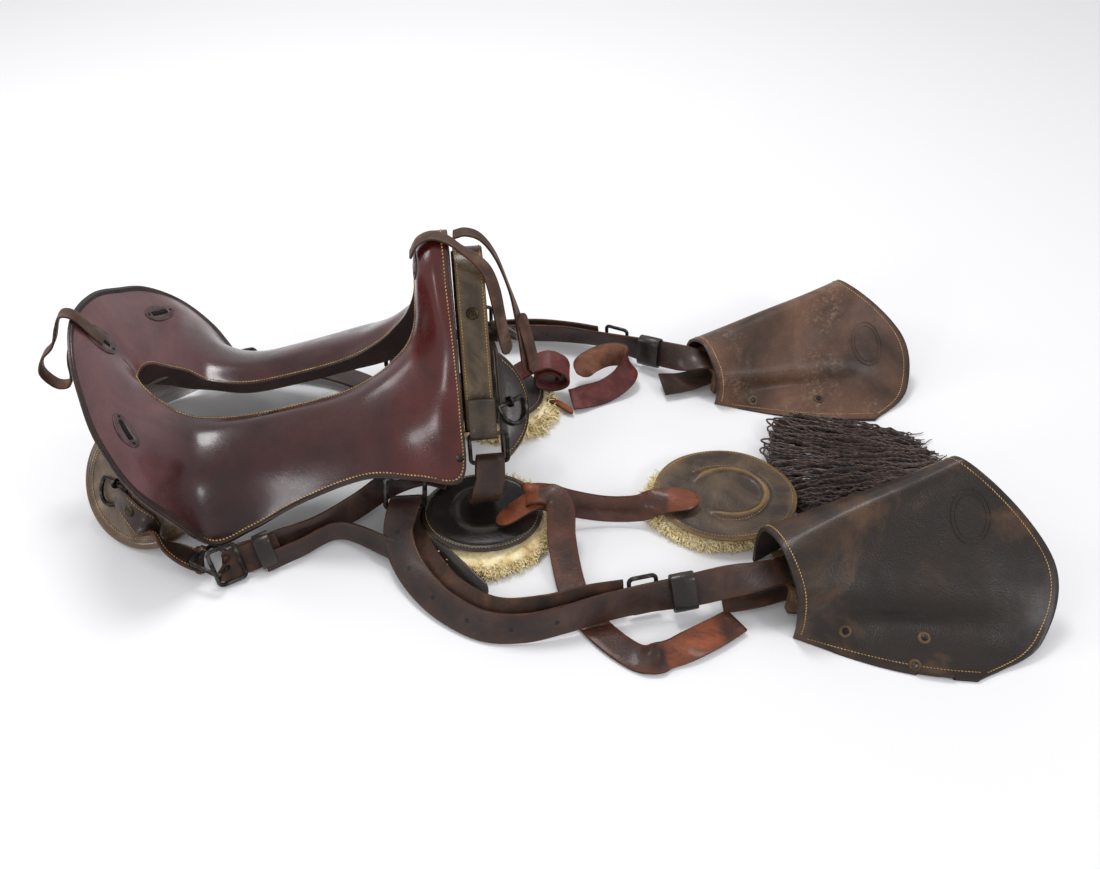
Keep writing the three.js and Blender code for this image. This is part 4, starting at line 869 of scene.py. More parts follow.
def skirt_frame(end, side):
    """A skirt's centre, its directions outwards and down, and its normal."""
    flip = A(1, -1 if side == "far" else 1, 1)
    n = unit(A(*SKIRTS[end]["normal"]) * flip)
    out = A(np.sign(n[0]), 0, 0)
    out = unit(out - n * out.dot(n))
    down = np.cross(n, out)
    down = -down if down[2] > 0 else down
    return on_saddle(A(*SKIRTS[end]["centre"]) * flip), turn(out), turn(down), turn(n)


def skirt(end, side):
    """A round leather skirt, cut off straight on the side of the seat."""
    s = SKIRTS[end]
    origin, out, down, n = skirt_frame(end, side)
    half = math.acos(-s["reach"] / s["radius"])
    a = np.linspace(-half, half, SKIRT_POINTS)
    rim = np.stack([np.cos(a), np.sin(a)], 1) * s["radius"]
    middle = A(rim[:, 0].min() * 0.5 + s["radius"] * 0.5, 0)

    def line(share, height):
        p = middle + (rim - middle) * share
        return origin + p[:, :1] * out + p[:, 1:] * down + n * height
    verts = np.concatenate([line(share, height) for share, height, _ in SKIRT_SECTION])
    wear = np.repeat([w for _, _, w in SKIRT_SECTION], SKIRT_POINTS)
    piece(f"{end}_skirt_{side}_leather", verts, capped(len(SKIRT_SECTION), SKIRT_POINTS), s["mat"], "saddle",
          "skirt_leather", [f"{end}_skirt_{side}"], floats={"wear": wear})
    path = line(SKIRT_GROOVE, 0.1)[3:-3]
    stitches(gold, path, np.tile(n, (len(path), 1)), 3.6, 2.6, 0.6)


for side, _ in SIDES:
    for end in ("rear", "front"):
        skirt(end, side)

# The strap from the cantle to the rear quarter ring, screwed to the skirt.
CANTLE_STRAP = ((-196, -104, 62, 0.5, -0.5, -0.2), (-176, -126, 46, 0.55, -0.45, -0.2),
                (-150, -150, 33, 0.5, -0.35, -0.3), (-124, -168, 24, 0.42, 0.5, -0.3),
                (-112, -172, 18, 0.35, 0.75, -0.3), (-108, -166, 12, 0.35, 0.75, -0.3))
SCREW_AT = 4
for side, sign in SIDES:
    lift = skirt_frame("rear", side)[3] * 3.0
    mirror = A(1, -sign, 1, 1, -sign, 1)
    p, way, across, face = strap_frames(CANTLE_STRAP * mirror, 30, on_saddle, turn)
    p = p + np.linspace(1, 0, len(p))[:, None] * lift
    flip = np.dot(face[SCREW_AT], lift) < 0
    strap(f"cantle_quarter_strap_{side}", (p, way, across, face), GIRTH, BROWN, "strap_leather",
          stands_for=[f"cantle_strap_{side}"], flip=flip)
    up = -face if flip else face
    screws.add(*lathe_mesh(p[SCREW_AT] + up[SCREW_AT] * STRAP_T / 2, up[SCREW_AT], LOW_SCREW, 24))
    edge_lines(gold, p[2:28], across[2:28], up[2:28], GIRTH)
screws.make("brass_screws", [BRASS], "saddle", "iron")
NAIL = ((0.01, 2.8), (2.0, 2.5), (3.8, 1.4), (4.6, 0.2), (4.6, -0.6))
nails = Soup()
for side, _ in SIDES:
    row = 4.75 * ROW
    at, n = on_cover(row if side == "near" else 2 * SIDE_ROWS - row, TOP - 2.2)
    nails.add(*lathe_mesh(at[0], n[0], NAIL, 20))
nails.make("cover_nails", [IRON], "saddle", "iron")


# ---- rings, staples, loops, buckles and tongues --------------------------------------------------
RING_REACH, RING_HALF_W = 26, 17
STAPLE_R = 1.8


def wire(name, route, radius, sides, closed, normal, body, node):
    piece(name, *tube_mesh(route, radius, sides, closed, normal), IRON, body, "iron", [node])


def d_ring(end, side, out, down, swing):
    """A D ring on a skirt and its staple, swung in degrees from the way outwards."""
    origin, o, d, n = skirt_frame(end, side)
    angle = math.radians(-swing if side == "far" else swing)
    x = o * math.cos(angle) + np.cross(n, o) * math.sin(angle)
    y = np.cross(n, x)
    at = origin + o * out + d * down + n * (STAPLE_R + WIRE_R + 0.8)
    a = np.linspace(-math.pi / 2, math.pi / 2, 40)
    bow = np.stack([RING_REACH * np.cos(a) ** 0.9, RING_HALF_W * np.sin(a)], 1)
    bar = np.stack([np.zeros(10), np.linspace(RING_HALF_W, -RING_HALF_W, 12)[1:-1]], 1)
    route = np.concatenate([bow, bar])
    wire(f"d_ring_{end}_{side}", at + route[:, :1] * x + route[:, 1:] * y, WIRE_R, 12, True, n,
         f"ring_{end}_{side}", f"saddle_ring_{end}_{side}")
    r = WIRE_R + STAPLE_R + 0.4
    b = np.linspace(math.pi, 0, 20)
    hoop = np.concatenate([[[-r, -r]], np.stack([r * np.cos(b), r * np.sin(b)], 1), [[r, -r]]])
    wire(f"staple_{end}_{side}", at + hoop[:, :1] * x + hoop[:, 1:] * n, STAPLE_R, 10, False, y, "saddle",
         f"ring_staple_{end}_{side}")


for side, _ in SIDES:
    d_ring("rear", side, 34, 2, 60)
    d_ring("front", side, 50, -4, -70)


def rounded(long, wide, steps):
    """Points at the corners of a rectangle, each with a direction outwards, steps to a corner."""
    quarter = np.linspace(0, math.pi / 2, steps)
    return A(*[[sa * long, sb * wide, math.cos(w), math.sin(w)]
               for k, (sa, sb) in enumerate(((1, 1), (-1, 1), (-1, -1), (1, -1)))
               for w in quarter + k * math.pi / 2])


RING_CORNER = 5.0


def frame_ring(name, centre, way, across, long, wide, radius, node):
    """A rectangular wire ring with rounded corners."""
    a = unit(way)
    b = unit(across - a * np.dot(across, a))
    line = rounded(long / 2 - RING_CORNER, wide / 2 - RING_CORNER, 8)
    flat = line[:, :2] + line[:, 2:] * RING_CORNER
    wire(name, centre + flat[:, :1] * a + flat[:, 1:] * b, radius, 12, True, np.cross(a, b), "saddle", node)


for side, sign in (("near", 1), ("far", -1)):
    flip = A(1, sign, 1)
    for name, at, way, across, long, wide, r in (
            ("quarter_ring_front", [219, -124, 107], [1, 0, 0], [0, 0.25, 0.97], 42, 36, WIRE_R),
            ("quarter_ring_rear", [-92, -176, 20], [0.35, 0.75, -0.3], [0.85, -0.42, -0.2], 42, 36, WIRE_R),
            ("stirrup_loop", [121, -128, 51], [1, 0, -0.1], [0, -0.1, -1], 44, 44, 2.8)):
        at, way, across = A(*at) * flip, A(*way) * flip, A(*across) * flip
        frame_ring(f"{name}_{side}_wire", on_saddle(at), turn(way), turn(across), long, wide, r,
                   f"{name}_{side}")

# Each buckle's middle, its way, the direction across it, and the body of its tongue.
BUCKLES = {"stirrup_buckle_near": ([119, -213, 26], [1, 0.25, 0], [0, 0.4, 1], "tongue_near"),
           "stirrup_buckle_far": ([113, 233, 27], [1, -0.45, 0], [0.05, -0.2, 1], "tongue_far"),
           "quarter_buckle_near": ([-334, -170, 23.5], [1, 0.5, 0.1], [0.2, 0.5, 0.8], None)}
BUCKLE_LONG, BUCKLE_WIDE = 30, 42
for name, (at, way, across, tongue) in BUCKLES.items():
    frame_ring(name + "_wire", on_set(at), A(*way), A(*across), BUCKLE_LONG, BUCKLE_WIDE, WIRE_R, name)
    if tongue:
        reach = BUCKLE_LONG / 2 - WIRE_R - 0.4
        ends = [on_set(at) + unit(way) * s for s in (-reach, -reach * 0.3, reach * 0.6, reach)]
        node = name.replace("buckle", "tongue")
        wire(node + "_wire", along(ends, np.linspace(0, 1, 20)), np.linspace(2.0, 1.3, 20), 12, False, None,
             tongue, node)


# ---- coat straps ---------------------------------------------------------------------------------
COAT_STRAPS = {
    "coat_strap_pommel": (
        (151, -4, 287), (160, -5, 303), (175, -8, 311), (191, -15, 309), (205, -22, 301),
        (219, -28, 292), (231, -32, 277), (238, -35, 252), (242, -35, 222), (246, -32, 190),
        (251, -28, 163)),
    "coat_strap_pommel_end": (
        (198, 14, 297), (212, 13, 300), (228, 11, 293), (243, 8, 270), (256, 5, 230), (265, 3, 190),
        (271, 2, 150), (275, 2, 120), (281, 2, 113), (282, 2, 125), (276, 2, 158), (268, 2, 195)),
    "coat_strap_cantle": (
        (-193, -2, 201), (-203, -2, 218), (-214, -2, 237), (-226, -2, 240), (-235, -2, 226),
        (-246, -2, 202), (-262, -2, 186), (-270, -2, 166), (-260, -2, 147), (-246, -2, 146),
        (-239, -2, 160), (-236, -2, 178), (-231, -2, 196)),
}
for name, places in COAT_STRAPS.items():
    cantle = "cantle" in name
    lean = np.clip((np.arange(len(places)) - 4) / 3, 0, 1) * (0 if cantle else 1.1)  # of the free end
    stops = [[*p, f, 1, 0.2 * f] for p, f in zip(places, lean)]
    strap(name + "_leather", strap_frames(stops, 12 * len(stops), on_saddle, turn), 17, [COAT, COAT, EDGE],
          "strap_leather", thick=2.6, stands_for=[name], tip=10, flip=cantle)


# ---- straps laid out on the floor ----------------------------------------------------------------
# How each strap differs from a plain quarter strap, then its stops.
LAID = {
    "front_quarter_strap_near": (dict(), (
        (-50, -70, 62, 1, 0.12, 0), (-49, -66, 80, 1, 0.12, 0), (-47, -72, 96, 1, 0.12, 0),
        (-46, -86, 96, 1, 0.12, 0), (-46, -98, 82, 1, 0.12, 0), (-50, -106, 70, 1, 0.12, 0),
        (-53, -104, 56, 1, 0.15, 0), (-56, -92, 44, 1, 0.2, 0), (-60, -72, 34, 1, 0.25, 0))),
    "front_quarter_strap_far": (dict(), (
        (-73, 146, 62, 1, -0.12, 0), (-73, 142, 80, 1, -0.12, 0), (-74, 148, 96, 1, -0.12, 0),
        (-75, 161, 95, 1, -0.12, 0), (-75, 172, 82, 1, 0.12, 0), (-72, 180, 68, 1, 0.12, 0),
        (-66, 176, 50, 1, 0.15, 0), (-60, 160, 36, 1, 0.1, 0), (-54, 140, 30, 1, 0.1, 0))),
    "rear_quarter_strap_near": (dict(), (
        (-282, -140.5, 22.5, 0.3, 0.5, 0.8), (-306, -153.5, 20.5, 0.4, 0.6, 0.7),
        (-326, -163, 19, 0.5, 0.6, 0.6), (-341, -166, 15, 0.5, 0.6, 0.6),
        (-326, -153, 15, 0.5, 0.6, 0.6), (-308, -146, 17, 0.4, 0.6, 0.7),
        (-286, -134, 19, 0.2, 0.4, 0.9), (-246, -116, 22, 0.1, 0.3, 0.95), (-205, -86, 26, 0, 0.4, 0.9),
        (-165, -50, 31, 0, 0.6, 0.7), (-128, -40, 36, -0.1, 0.8, 0.4), (-98, -48, 34, -0.1, 1, 0.2))),
    "rear_quarter_strap_far": (dict(), (
        (-390, 186, 24, 0.2, 1, 0.1), (-360, 190, 20, 0.1, 1, 0.1), (-300, 184, 14, 0, 1, 0),
        (-240, 162, 12, 0, 1, 0), (-184, 124, 14, 0.2, 1, 0), (-130, 112, 25, 0, 1, 0),
        (-98, 112, 30, 0, 1, 0))),
    "quarter_strap_tail": (dict(width=22, back=[(0, 0.3)]), (
        (-297, -159, 12, 0.2, 0.5, 0.8), (-261, -140, 16, 0.1, 0.4, 0.9),
        (-219, -116, 19, 0.1, 0.4, 0.9), (-165, -140, 20, 0.4, 0.6, 0.7),
        (-124, -164, 14, 0.6, 0.7, 0.5))),
    "quarter_strap_point": (dict(width=28, mats=[KEEPER, KEEPER, EDGE], tip=14), (
        (-124, -136, 14, 0.5, 0.7, 0.6), (-102, -152, 13, 0.6, 0.7, 0.6),
        (-76, -180, 13, 0.6, 0.7, 0.6), (-50, -208, 11, 0.6, 0.7, 0.6))),
    "latigo_near": (dict(mats=[LATIGO, LATIGO, EDGE], slot="latigo_leather", tail=26,
                         front=[(-1, 0.06), (0.3, 0.385), (0.84, 0.96)], back=[(-1, 0.06), (0.29, 0.4)]), (
        (192, -84, 34, 0.1, 1, 0.1), (162, -84, 36, 0, 1, 0.3), (140, -84, 31, 0, 0.8, 0.6),
        (122, -84, 22, 0, 0.5, 0.85), (85, -84, 21, 0, 0.4, 0.9), (44, -84, 30, 0, 0.5, 0.85),
        (14, -84, 41, -0.2, 0.8, 0.6), (-6, -88, 46, -0.3, 0.9, 0.2), (4, -92, 53, 0.2, 1, -0.1),
        (22, -94, 53, 1, 0.6, 0), (32, -106, 44, 1, 0.1, 0.1), (33, -130, 26, 1, 0, 0.1),
        (38, -162, 13, 1, 0.1, 0), (46, -194, 5, 1, 0.3, 0), (60, -226, 3, 0.9, 0.5, 0),
        (82, -254, 3, 0.7, 0.8, 0), (108, -276, 3.6, 0.4, 1, 0.05), (126, -283, 10, 0.2, 0.8, 0.45),
        (142, -281, 15, -0.1, 0.5, 0.8), (166, -268, 13, -0.2, 0.8, 0.5),
        (194, -250, 10, -0.3, 0.9, 0.25), (218, -232, 6, -0.4, 1, 0))),
    "latigo_fold": (dict(width=26, mats=[ORANGE, ORANGE, EDGE], slot="latigo_leather", tail=22), (
        (-40, -117, 32, 0.3, 0.9, 0.3), (-22, -108, 40, 0.1, 1, 0.2), (-4, -98, 46, 0, 1, 0.2),
        (12, -92, 49, -0.1, 1, 0.1))),
    "latigo_frayed_end": (dict(width=9, mats=[ORANGE, ORANGE, EDGE], slot="latigo_leather",
                               tip=9, tail=4), (
        (16, 120, 14, 0.5, 0.9, 0.2), (28, 116, 12, 0.4, 0.9, 0.1), (40, 110, 8, 0.6, 0.8, 0.2),
        (50, 102, 5, 0.5, 0.8, 0))),
    "latigo_far": (dict(mats=[LATIGO_RED, LATIGO_RED, EDGE], slot="latigo_leather"), (
        (-34, 140, 32, 0, 1, 0.2), (-16, 146, 42, 0, 1, 0.2), (2, 148, 52, 0, 1, 0.2),
        (20, 148, 57, 0, 1, 0.2), (38, 146, 49, 0, 1, 0.2), (44, 144, 36, 0, 1, 0.2),
        (37, 144, 26, 0, 1, 0.1), (20, 144, 22.5, 0, 1, 0.1), (4, 145, 27.5, 0, 1, 0.1),
        (1, 146, 37, 0, 1, 0.1), (10, 147, 46, 0, 1, 0.1), (24, 147, 48, 0, 1, 0.1),
        (33, 147, 40, 0, 1, 0.1), (30, 150, 32, 0.1, 1, 0.1))),
    "latigo_far_end": (dict(mats=[LATIGO_RED, TAN, EDGE], slot="latigo_leather", tip=14), (
        (48, 122, 11, 0.6, 0.8, 0.3), (66, 126, 13, 0.3, 0.9, 0.5), (92, 138, 12, 0, 0.8, 0.6),
        (116, 154, 19, -0.4, 0.7, 0.6), (126, 170, 28, -0.5, 0.4, 0.8), (120, 186, 34, -0.3, 0.3, 0.9),
        (98, 186, 36, 0.1, 0.5, 0.9), (74, 178, 30, 0.2, 0.7, 0.8), (56, 166, 20, 0.3, 0.8, 0.6))),
    "stirrup_strap_near": (dict(width=STIRRUP_W, holed=(0.4, 0.62)), (
        (98, -212, 26, 0, 0.35, 1), (60, -219, 26, 0, 0.35, 1), (16, -232, 25, 0, 0.45, 1),
        (-34, -236, 24, 0.1, 0.55, 0.9), (-76, -214, 23, 0.4, 0.6, 0.8),
        (-106, -180, 22, 0.7, 0.5, 0.7), (-130, -139, 18, 0.9, 0.3, 0.35),
        (-142, -110, 17.5, 1, 0.12, 0.1), (-145, -90, 20, 1, 0.12, 0), (-145, -77, 27, 1, 0.12, 0),
        (-145, -80, 37, 1, 0.12, -0.05), (-145, -93, 43, 1, 0.12, -0.05), (-148, -110, 39, 1, 0.12, 0),
        (-150, -130, 30, 1, 0, 0.3), (-140, -160, 22, 0.9, 0.3, 0.5), (-119, -193, 18, 0.7, 0.5, 0.7),
        (-89, -224, 17, 0.4, 0.6, 0.9), (-50, -247, 17, 0.1, 0.6, 1), (-8, -252, 19, -0.1, 0.4, 1),
        (34, -244, 23, -0.1, 0.3, 1), (76, -231, 26, -0.1, 0.3, 1), (120, -220, 28, 0, 0.4, 1),
        (165, -211, 29, 0, 0.6, 0.8), (208, -205, 37, -0.1, 0.9, 0.5), (236, -203, 43, -0.24, 1, 0.15),
        (261.3, -196.3, 42, -0.24, 0.97, 0), (276.9, -192.4, 37, -0.24, 0.97, 0),
        (286.7, -190, 27, -0.24, 0.97, 0), (276.9, -192.4, 17, -0.24, 0.97, 0),
        (261.3, -196.3, 13, -0.24, 0.97, 0), (234, -203, 12, -0.24, 0.97, 0.1),
        (204, -208, 15, 0, 1, 0.4))),
    "stirrup_strap_far": (dict(width=STIRRUP_W, holed=(0.4, 0.62)), (
        (88, 246, 25, 0, -0.3, 1), (50, 258, 24, 0, -0.3, 1), (0, 268, 22, 0, -0.3, 1),
        (-60, 268, 20, 0.1, -0.4, 1), (-112, 256, 19, 0.4, -0.6, 0.9), (-150, 230, 18, 0.8, -0.4, 0.5),
        (-168, 200, 16, 1, -0.2, 0.1), (-175, 174, 18, 1, -0.12, 0), (-175, 157, 26, 1, -0.12, 0),
        (-175, 158, 37, 1, -0.12, 0), (-176, 170, 43, 1, -0.12, -0.05), (-177, 188, 41, 1, -0.1, 0),
        (-174, 206, 35, 1, -0.2, 0.3), (-154, 228, 29, 0.8, -0.4, 0.5), (-118, 242, 25, 0.4, -0.6, 0.8),
        (-66, 250, 24, 0.1, -0.4, 1), (-16, 251, 24, 0, -0.3, 1), (40, 248, 24, 0, -0.3, 1),
        (90, 235, 25, 0, -0.4, 1), (126, 219, 26, 0, -0.1, 1), (158, 202, 29, 0, 0.3, 0.95),
        (184, 186, 34, -0.15, 0.7, 0.7), (205, 173, 39, -0.3, 0.9, 0.3),
        (222.9, 167.5, 41, -0.34, 0.94, 0.05), (237.9, 172.3, 37, -0.34, 0.94, 0),
        (247.5, 175.8, 27, -0.34, 0.94, 0), (237.9, 172.3, 17, -0.34, 0.94, 0),
        (222.9, 166.9, 13, -0.34, 0.94, 0), (198, 158, 11, -0.34, 0.94, 0.1),
        (170, 150, 14, -0.2, 1, 0.3))),
}
LAID_FRAMES = {}
for name, (style, stops) in LAID.items():
    LAID_FRAMES[name] = strap_frames(stops, 9 * len(stops))
    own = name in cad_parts
    strap(name + "_leather" if own else name, LAID_FRAMES[name], stands_for=[name] if own else (),
          **{"width": GIRTH, "mats": BROWN, "slot": "strap_leather", **style})


KEEPER_T = 2.0


def keeper(name, strap_name, at, wide, deep, long):
    """A loop of leather round a strap at a share of its route."""
    frames = LAID_FRAMES[strap_name]
    p, way, across, face = (v[int(at * (len(frames[0]) - 1))] for v in frames)
    corner = deep / 2 + 1.2
    loop = rounded(max(wide / 2 + 1.5 - corner, 0), max(deep / 2 + 1.2 - corner, 0), 7)
    verts = []
    for x, out in ((-long / 2, 0), (-long / 2, 0.8), (-long / 2 + 0.8, 1), (0, 1.1), (long / 2 - 0.8, 1),
                   (long / 2, 0.8), (long / 2, 0)):
        plane = loop[:, :2] + loop[:, 2:] * (corner + out * KEEPER_T)
        verts.append(p + way * x + plane[:, :1] * across + plane[:, 1:] * face)
    piece(name, np.concatenate(verts), grid_faces(len(verts), len(loop), True, True), KEEPER, "saddle",
          "strap_leather")


keeper("keeper_stirrup_near", "stirrup_strap_near", 0.71, STIRRUP_W, 11, 26)
keeper("keeper_stirrup_far", "stirrup_strap_far", 0.69, STIRRUP_W, 13, 30)
keeper("keeper_rear_inner", "rear_quarter_strap_near", 0.5, GIRTH, 7, 18)
keeper("keeper_rear_outer", "rear_quarter_strap_near", 0.065, GIRTH, 11, 18)


# ---- sheepskins and safes ------------------------------------------------------------------------
DOME_RINGS, DOME_SPOKES = 60, 120


def oval(a, reach, share):
    """Points of an oval on the floor, or of as many ovals as there are shares of its radius."""
    x, y = share * np.cos(a) * reach[0], share * np.sin(a) * reach[1]
    return np.stack([x, y], -1)


def dome(name, centre, reach, height, edge, mat, slot, node, relief, shrink=1.0):
    """A low oval pad; relief adds height in millimetres from the share of radius and the angle."""
    top = A([0, height], [0.4, height * 0.97], [0.75, height * 0.82], [0.95, edge * 1.15], [1, edge * 0.55])
    s = np.linspace(0.01, 1, DOME_RINGS)
    profile = np.pad(np.interp(s, top[:, 0], top[:, 1]), 2, "edge")
    profile = np.convolve(profile, np.ones(5) / 5, "valid")
    a, s = circle(DOME_SPOKES)[None, :], s[:, None]
    raised = relief(s, a)
    up = np.concatenate([oval(a, reach, s) * shrink, (profile[:, None] + raised)[..., None]], -1)
    low = np.concatenate([oval(a[0], reach, 0.97 * shrink), np.zeros((DOME_SPOKES, 1))], 1)
    verts = np.concatenate([up.reshape(-1, 3), low]) + on_set(centre)
    rim = np.clip((s - 0.93) / 0.05, 0, 1)
    wear = np.maximum(rim, np.clip(raised * 0.6 - 0.35, 0, 1)).ravel()
    return piece(name, verts, capped(DOME_RINGS + 1, DOME_SPOKES), mat, "saddle", slot, [node],
                 floats={"wear": np.append(wear, np.ones(DOME_SPOKES))})


def ripple(seed, amount, waves=5):
    """A random wavy line round a circle."""
    r = np.random.default_rng(seed)
    n = np.arange(1, waves + 1)
    phase, size = r.uniform(0, 6.28, waves), r.normal(0, 1, waves) / n
    return lambda a: amount * sum(h * np.cos(k * a + p) for k, p, h in zip(n, phase, size))


def ridge(s, at, wide, high):
    return high * np.exp(-((s - at) / wide) ** 2)


def arc(a, middle, cut, sharp):
    """1 on an arc of a circle and 0 off it, with soft ends."""
    return 0.5 + 0.5 * np.tanh((np.cos(a - middle) + cut) * sharp)


def safe_relief(seed):
    """Pressed outline of the ring that the safe protects the horse from, and a soft warp."""
    warp = ripple(seed, 0.8)

    def relief(s, a):
        at = 0.52 + 0.06 * np.cos(a - 0.6) + 0.02 * np.cos(3 * a)
        shoe = ridge(s, at, 0.05, 2.4) * arc(a, -2.2, 0.75, 6)
        return shoe + ridge(s, 0.9, 0.05, 0.9) + warp(a) * s ** 2
    return relief


def cincha_relief(seed):
    """A raised horseshoe round a hollow, a raised rim and a stronger warp."""
    warp = ripple(seed, 1.0)

    def relief(s, a):
        at = 0.5 + 0.06 * np.cos(a)
        shoe = (ridge(s, at, 0.05, 3.4) - ridge(s, at + 0.09, 0.025, 0.9)) * arc(a, 0.25, 0.62, 7)
        return ridge(s, 0.95, 0.05, 0.8) + warp(a) * 1.8 * s ** 2 + ridge(s, at - 0.15, 0.2, -1.6) + shoe
    return relief


def fleece_relief(seed):
    """Matted wool."""
    w1, w2, w3 = (ripple(seed + i, 0.6, 14) for i in range(3))
    return lambda s, a: (w1(a + 3 * s) + w2(2 * a - 5 * s) + w3(3 * a + 9 * s)) * 0.7 * np.clip(s * 2, 0, 1)


# Centre, reach, height in the middle and at the edge, leather, slot and relief.
SAFES = (("ring_safe_near", [-58, -90, 21], [70, 62], 6, 3, BLACK, "black_leather", safe_relief(3)),
         ("ring_safe_far", [-56, 124, 17], [68, 58], 6, 3, BLACK, "black_leather", safe_relief(4)),
         ("cincha_safe", [226, -61, 19], [84, 74], 8, 4, CINCHA, "skirt_leather", cincha_relief(5)))
RIM_SEAM, SHOE_SEAM = (0.93, 0, math.pi * 2), (0.6, -1.85, 2.35)  # share of the radius, first and last angle
for name, centre, reach, height, edge, mat, slot, relief in SAFES:
    dome(name + "_leather", centre, reach, height, edge, mat, slot, name, relief)
    for s, start, end in (RIM_SEAM, SHOE_SEAM) if name == "cincha_safe" else (RIM_SEAM,):
        a = np.linspace(start, end, 160)
        z = np.interp(s, [0, 0.4, 0.75, 0.95], [height, height * 0.97, height * 0.82, edge * 1.15]) - 0.3
        z = z + relief(s, a) + 0.35 * (s > 0.9)
        path = np.concatenate([oval(a, reach, s), z[:, None]], 1) + on_set(centre)
        stitches(gold, path, np.tile([0.0, 0, 1], (len(a), 1)), 3.8, 2.5, 0.42)

WOOL_FROM = 0.8  # share of the radius where the locks begin
LOCK_POINTS, LOCK_SIDES = 5, 4


def wool(name, centre, reach, height, edge, seed, count, long_at):
    """Locks of fleece standing out round the rim of a pad, longest at one angle."""
    r = np.random.default_rng(seed)
    soup = Soup()
    a = r.uniform(0, 2 * math.pi, count)
    s = WOOL_FROM + (1.0 - WOOL_FROM) * r.beta(2.2, 1.2, count)
    z = np.interp(s, [0.4, 0.75, 0.95, 1], [height * 0.95, height * 0.8, edge, edge * 0.5])
    z = z * r.uniform(0.15, 1, count)
    base = np.concatenate([oval(a, reach, s), np.maximum(z, 1.4)[:, None]], 1)
    outward = unit(np.stack([np.cos(a) / reach[0], np.sin(a) / reach[1], np.zeros(count)], 1))
    droop = r.uniform(-0.3, 0.5, count)
    way = unit(outward + r.normal(0, 0.55, (count, 3)) + droop[:, None] * A(0, 0, 1))
    curl = unit(np.cross(way, r.normal(0, 1, (count, 3))))
    long, thick = r.uniform(3.5, 8, count), r.uniform(0.9, 1.9, count)
    long *= 1 + 1.5 * np.clip(np.cos(a - long_at), 0, 1) ** 3
    t = np.linspace(0, 1, LOCK_POINTS)
    turned = circle(LOCK_SIDES)[:, None]
    faces = capped(LOCK_POINTS, LOCK_SIDES)
    for k in range(count):
        other = np.cross(way[k], curl[k])
        line = base[k] + np.outer(t * long[k], way[k]) + np.outer(np.sin(t * 3.3) * long[k] * 0.28, curl[k])
        line[:, 2] = np.maximum(line[:, 2], 1.0)
        size = thick[k] * (1 - t ** 2.5 * 0.75)
        v = line[:, None] + size[:, None, None] * (np.cos(turned) * curl[k] + np.sin(turned) * other)
        v[..., 2] = np.maximum(v[..., 2], 0.3)
        soup.add(v.reshape(-1, 3) + on_set(centre), faces)
    soup.make(name, [FLEECE], "saddle", "fleece")


# Centre, reach, height in the middle and at the edge, seed, number of locks and their longest angle.
FLEECES = (("safe_fleece_near", [-58, -98, 0.2], [80, 74], 20, 12, 11, 2600, 0.8),
           ("safe_fleece_far", [-52, 118, 0.2], [78, 66], 16, 10, 12, 1700, -0.8),
           ("cincha_fleece", [218, -66, 0.2], [80, 66], 18, 11, 13, 2200, 2.7))
for name, centre, reach, height, edge, seed, count, long_at in FLEECES:
    hide = dome(name + "_skin", centre, reach, height, edge, FLEECE, "fleece", name, fleece_relief(seed),
                shrink=0.97)
    wool(name + "_wool", centre, reach, height, edge, seed, count, long_at)


# ---- cincha: twisted mohair cords ----------------------------------------------------------------
FAN_FROM = A([322, -80], [296, -44], [292, 6], [306, 64], [334, 84])
FAN_TO = A([440, -36], [486, -14], [504, 6], [496, 32], [474, 60])
FAN_END = 517  # the farthest that a loose end may reach
CORDS, LOOSE_ENDS, LOOPS = 132, 90, 22
PLY_TURN = 2.6  # millimetres of cord to a radian of its twist
r = np.random.default_rng(21)


def spot(curve, share):
    return along(curve, [share])[0]


def lifted(xy, z):
    """A route on the floor with its heights, in the row frame."""
    return on_set(np.concatenate([xy, z[:, None]], 1))


def cord(soup, share):
    """A long cord of two plies across the fan."""
    t = np.linspace(0, 1, 60)
    u = np.clip(share + r.normal(0, 0.012), 0.0, 1.0)
    v = np.clip(share + r.normal(0, 0.07), 0.0, 1.0)
    a = spot(FAN_FROM, u)
    way = spot(FAN_TO, v) - a
    side = A(-way[1], way[0]) / np.linalg.norm(way)
    wave = r.normal(0, 7) * np.sin(t * math.pi)
    wave = wave + r.normal(0, 4.2) * np.sin(t * 2 * math.pi + r.uniform(0, 6))
    wave = wave + r.uniform(0.5, 1.5) * np.sin(t * r.uniform(24, 52) + r.uniform(0, 6))
    short = r.uniform(0.93, 1.0) if r.random() < 0.7 else r.uniform(0.72, 0.93)
    xy = a + np.outer(t * short, way) + np.outer(wave, side)
    layer = 2.6 + 3.4 * (int(share * CORDS) * 7 % 5) + r.uniform(0, 2)
    z = layer * (1 - 0.45 * t) + 1.6 * np.sin(t * 9 + r.uniform(0, 6))
    z = z + 0.8 * np.sin(t * 40 + r.uniform(0, 6))
    path = lifted(xy, np.maximum(z + 1.2, 2.9))
    thick = r.uniform(0.95, 1.3) * (1 - 0.35 * np.clip(t * 12 - 11, 0, 1))
    for ply in (0, math.pi):
        twist = t * np.linalg.norm(way) * short / PLY_TURN + ply
        off = np.stack([side[0] * np.cos(twist), side[1] * np.cos(twist), np.sin(twist)], 1) * 0.8
        soup.add(*tube_mesh(path + off, thick, 5))


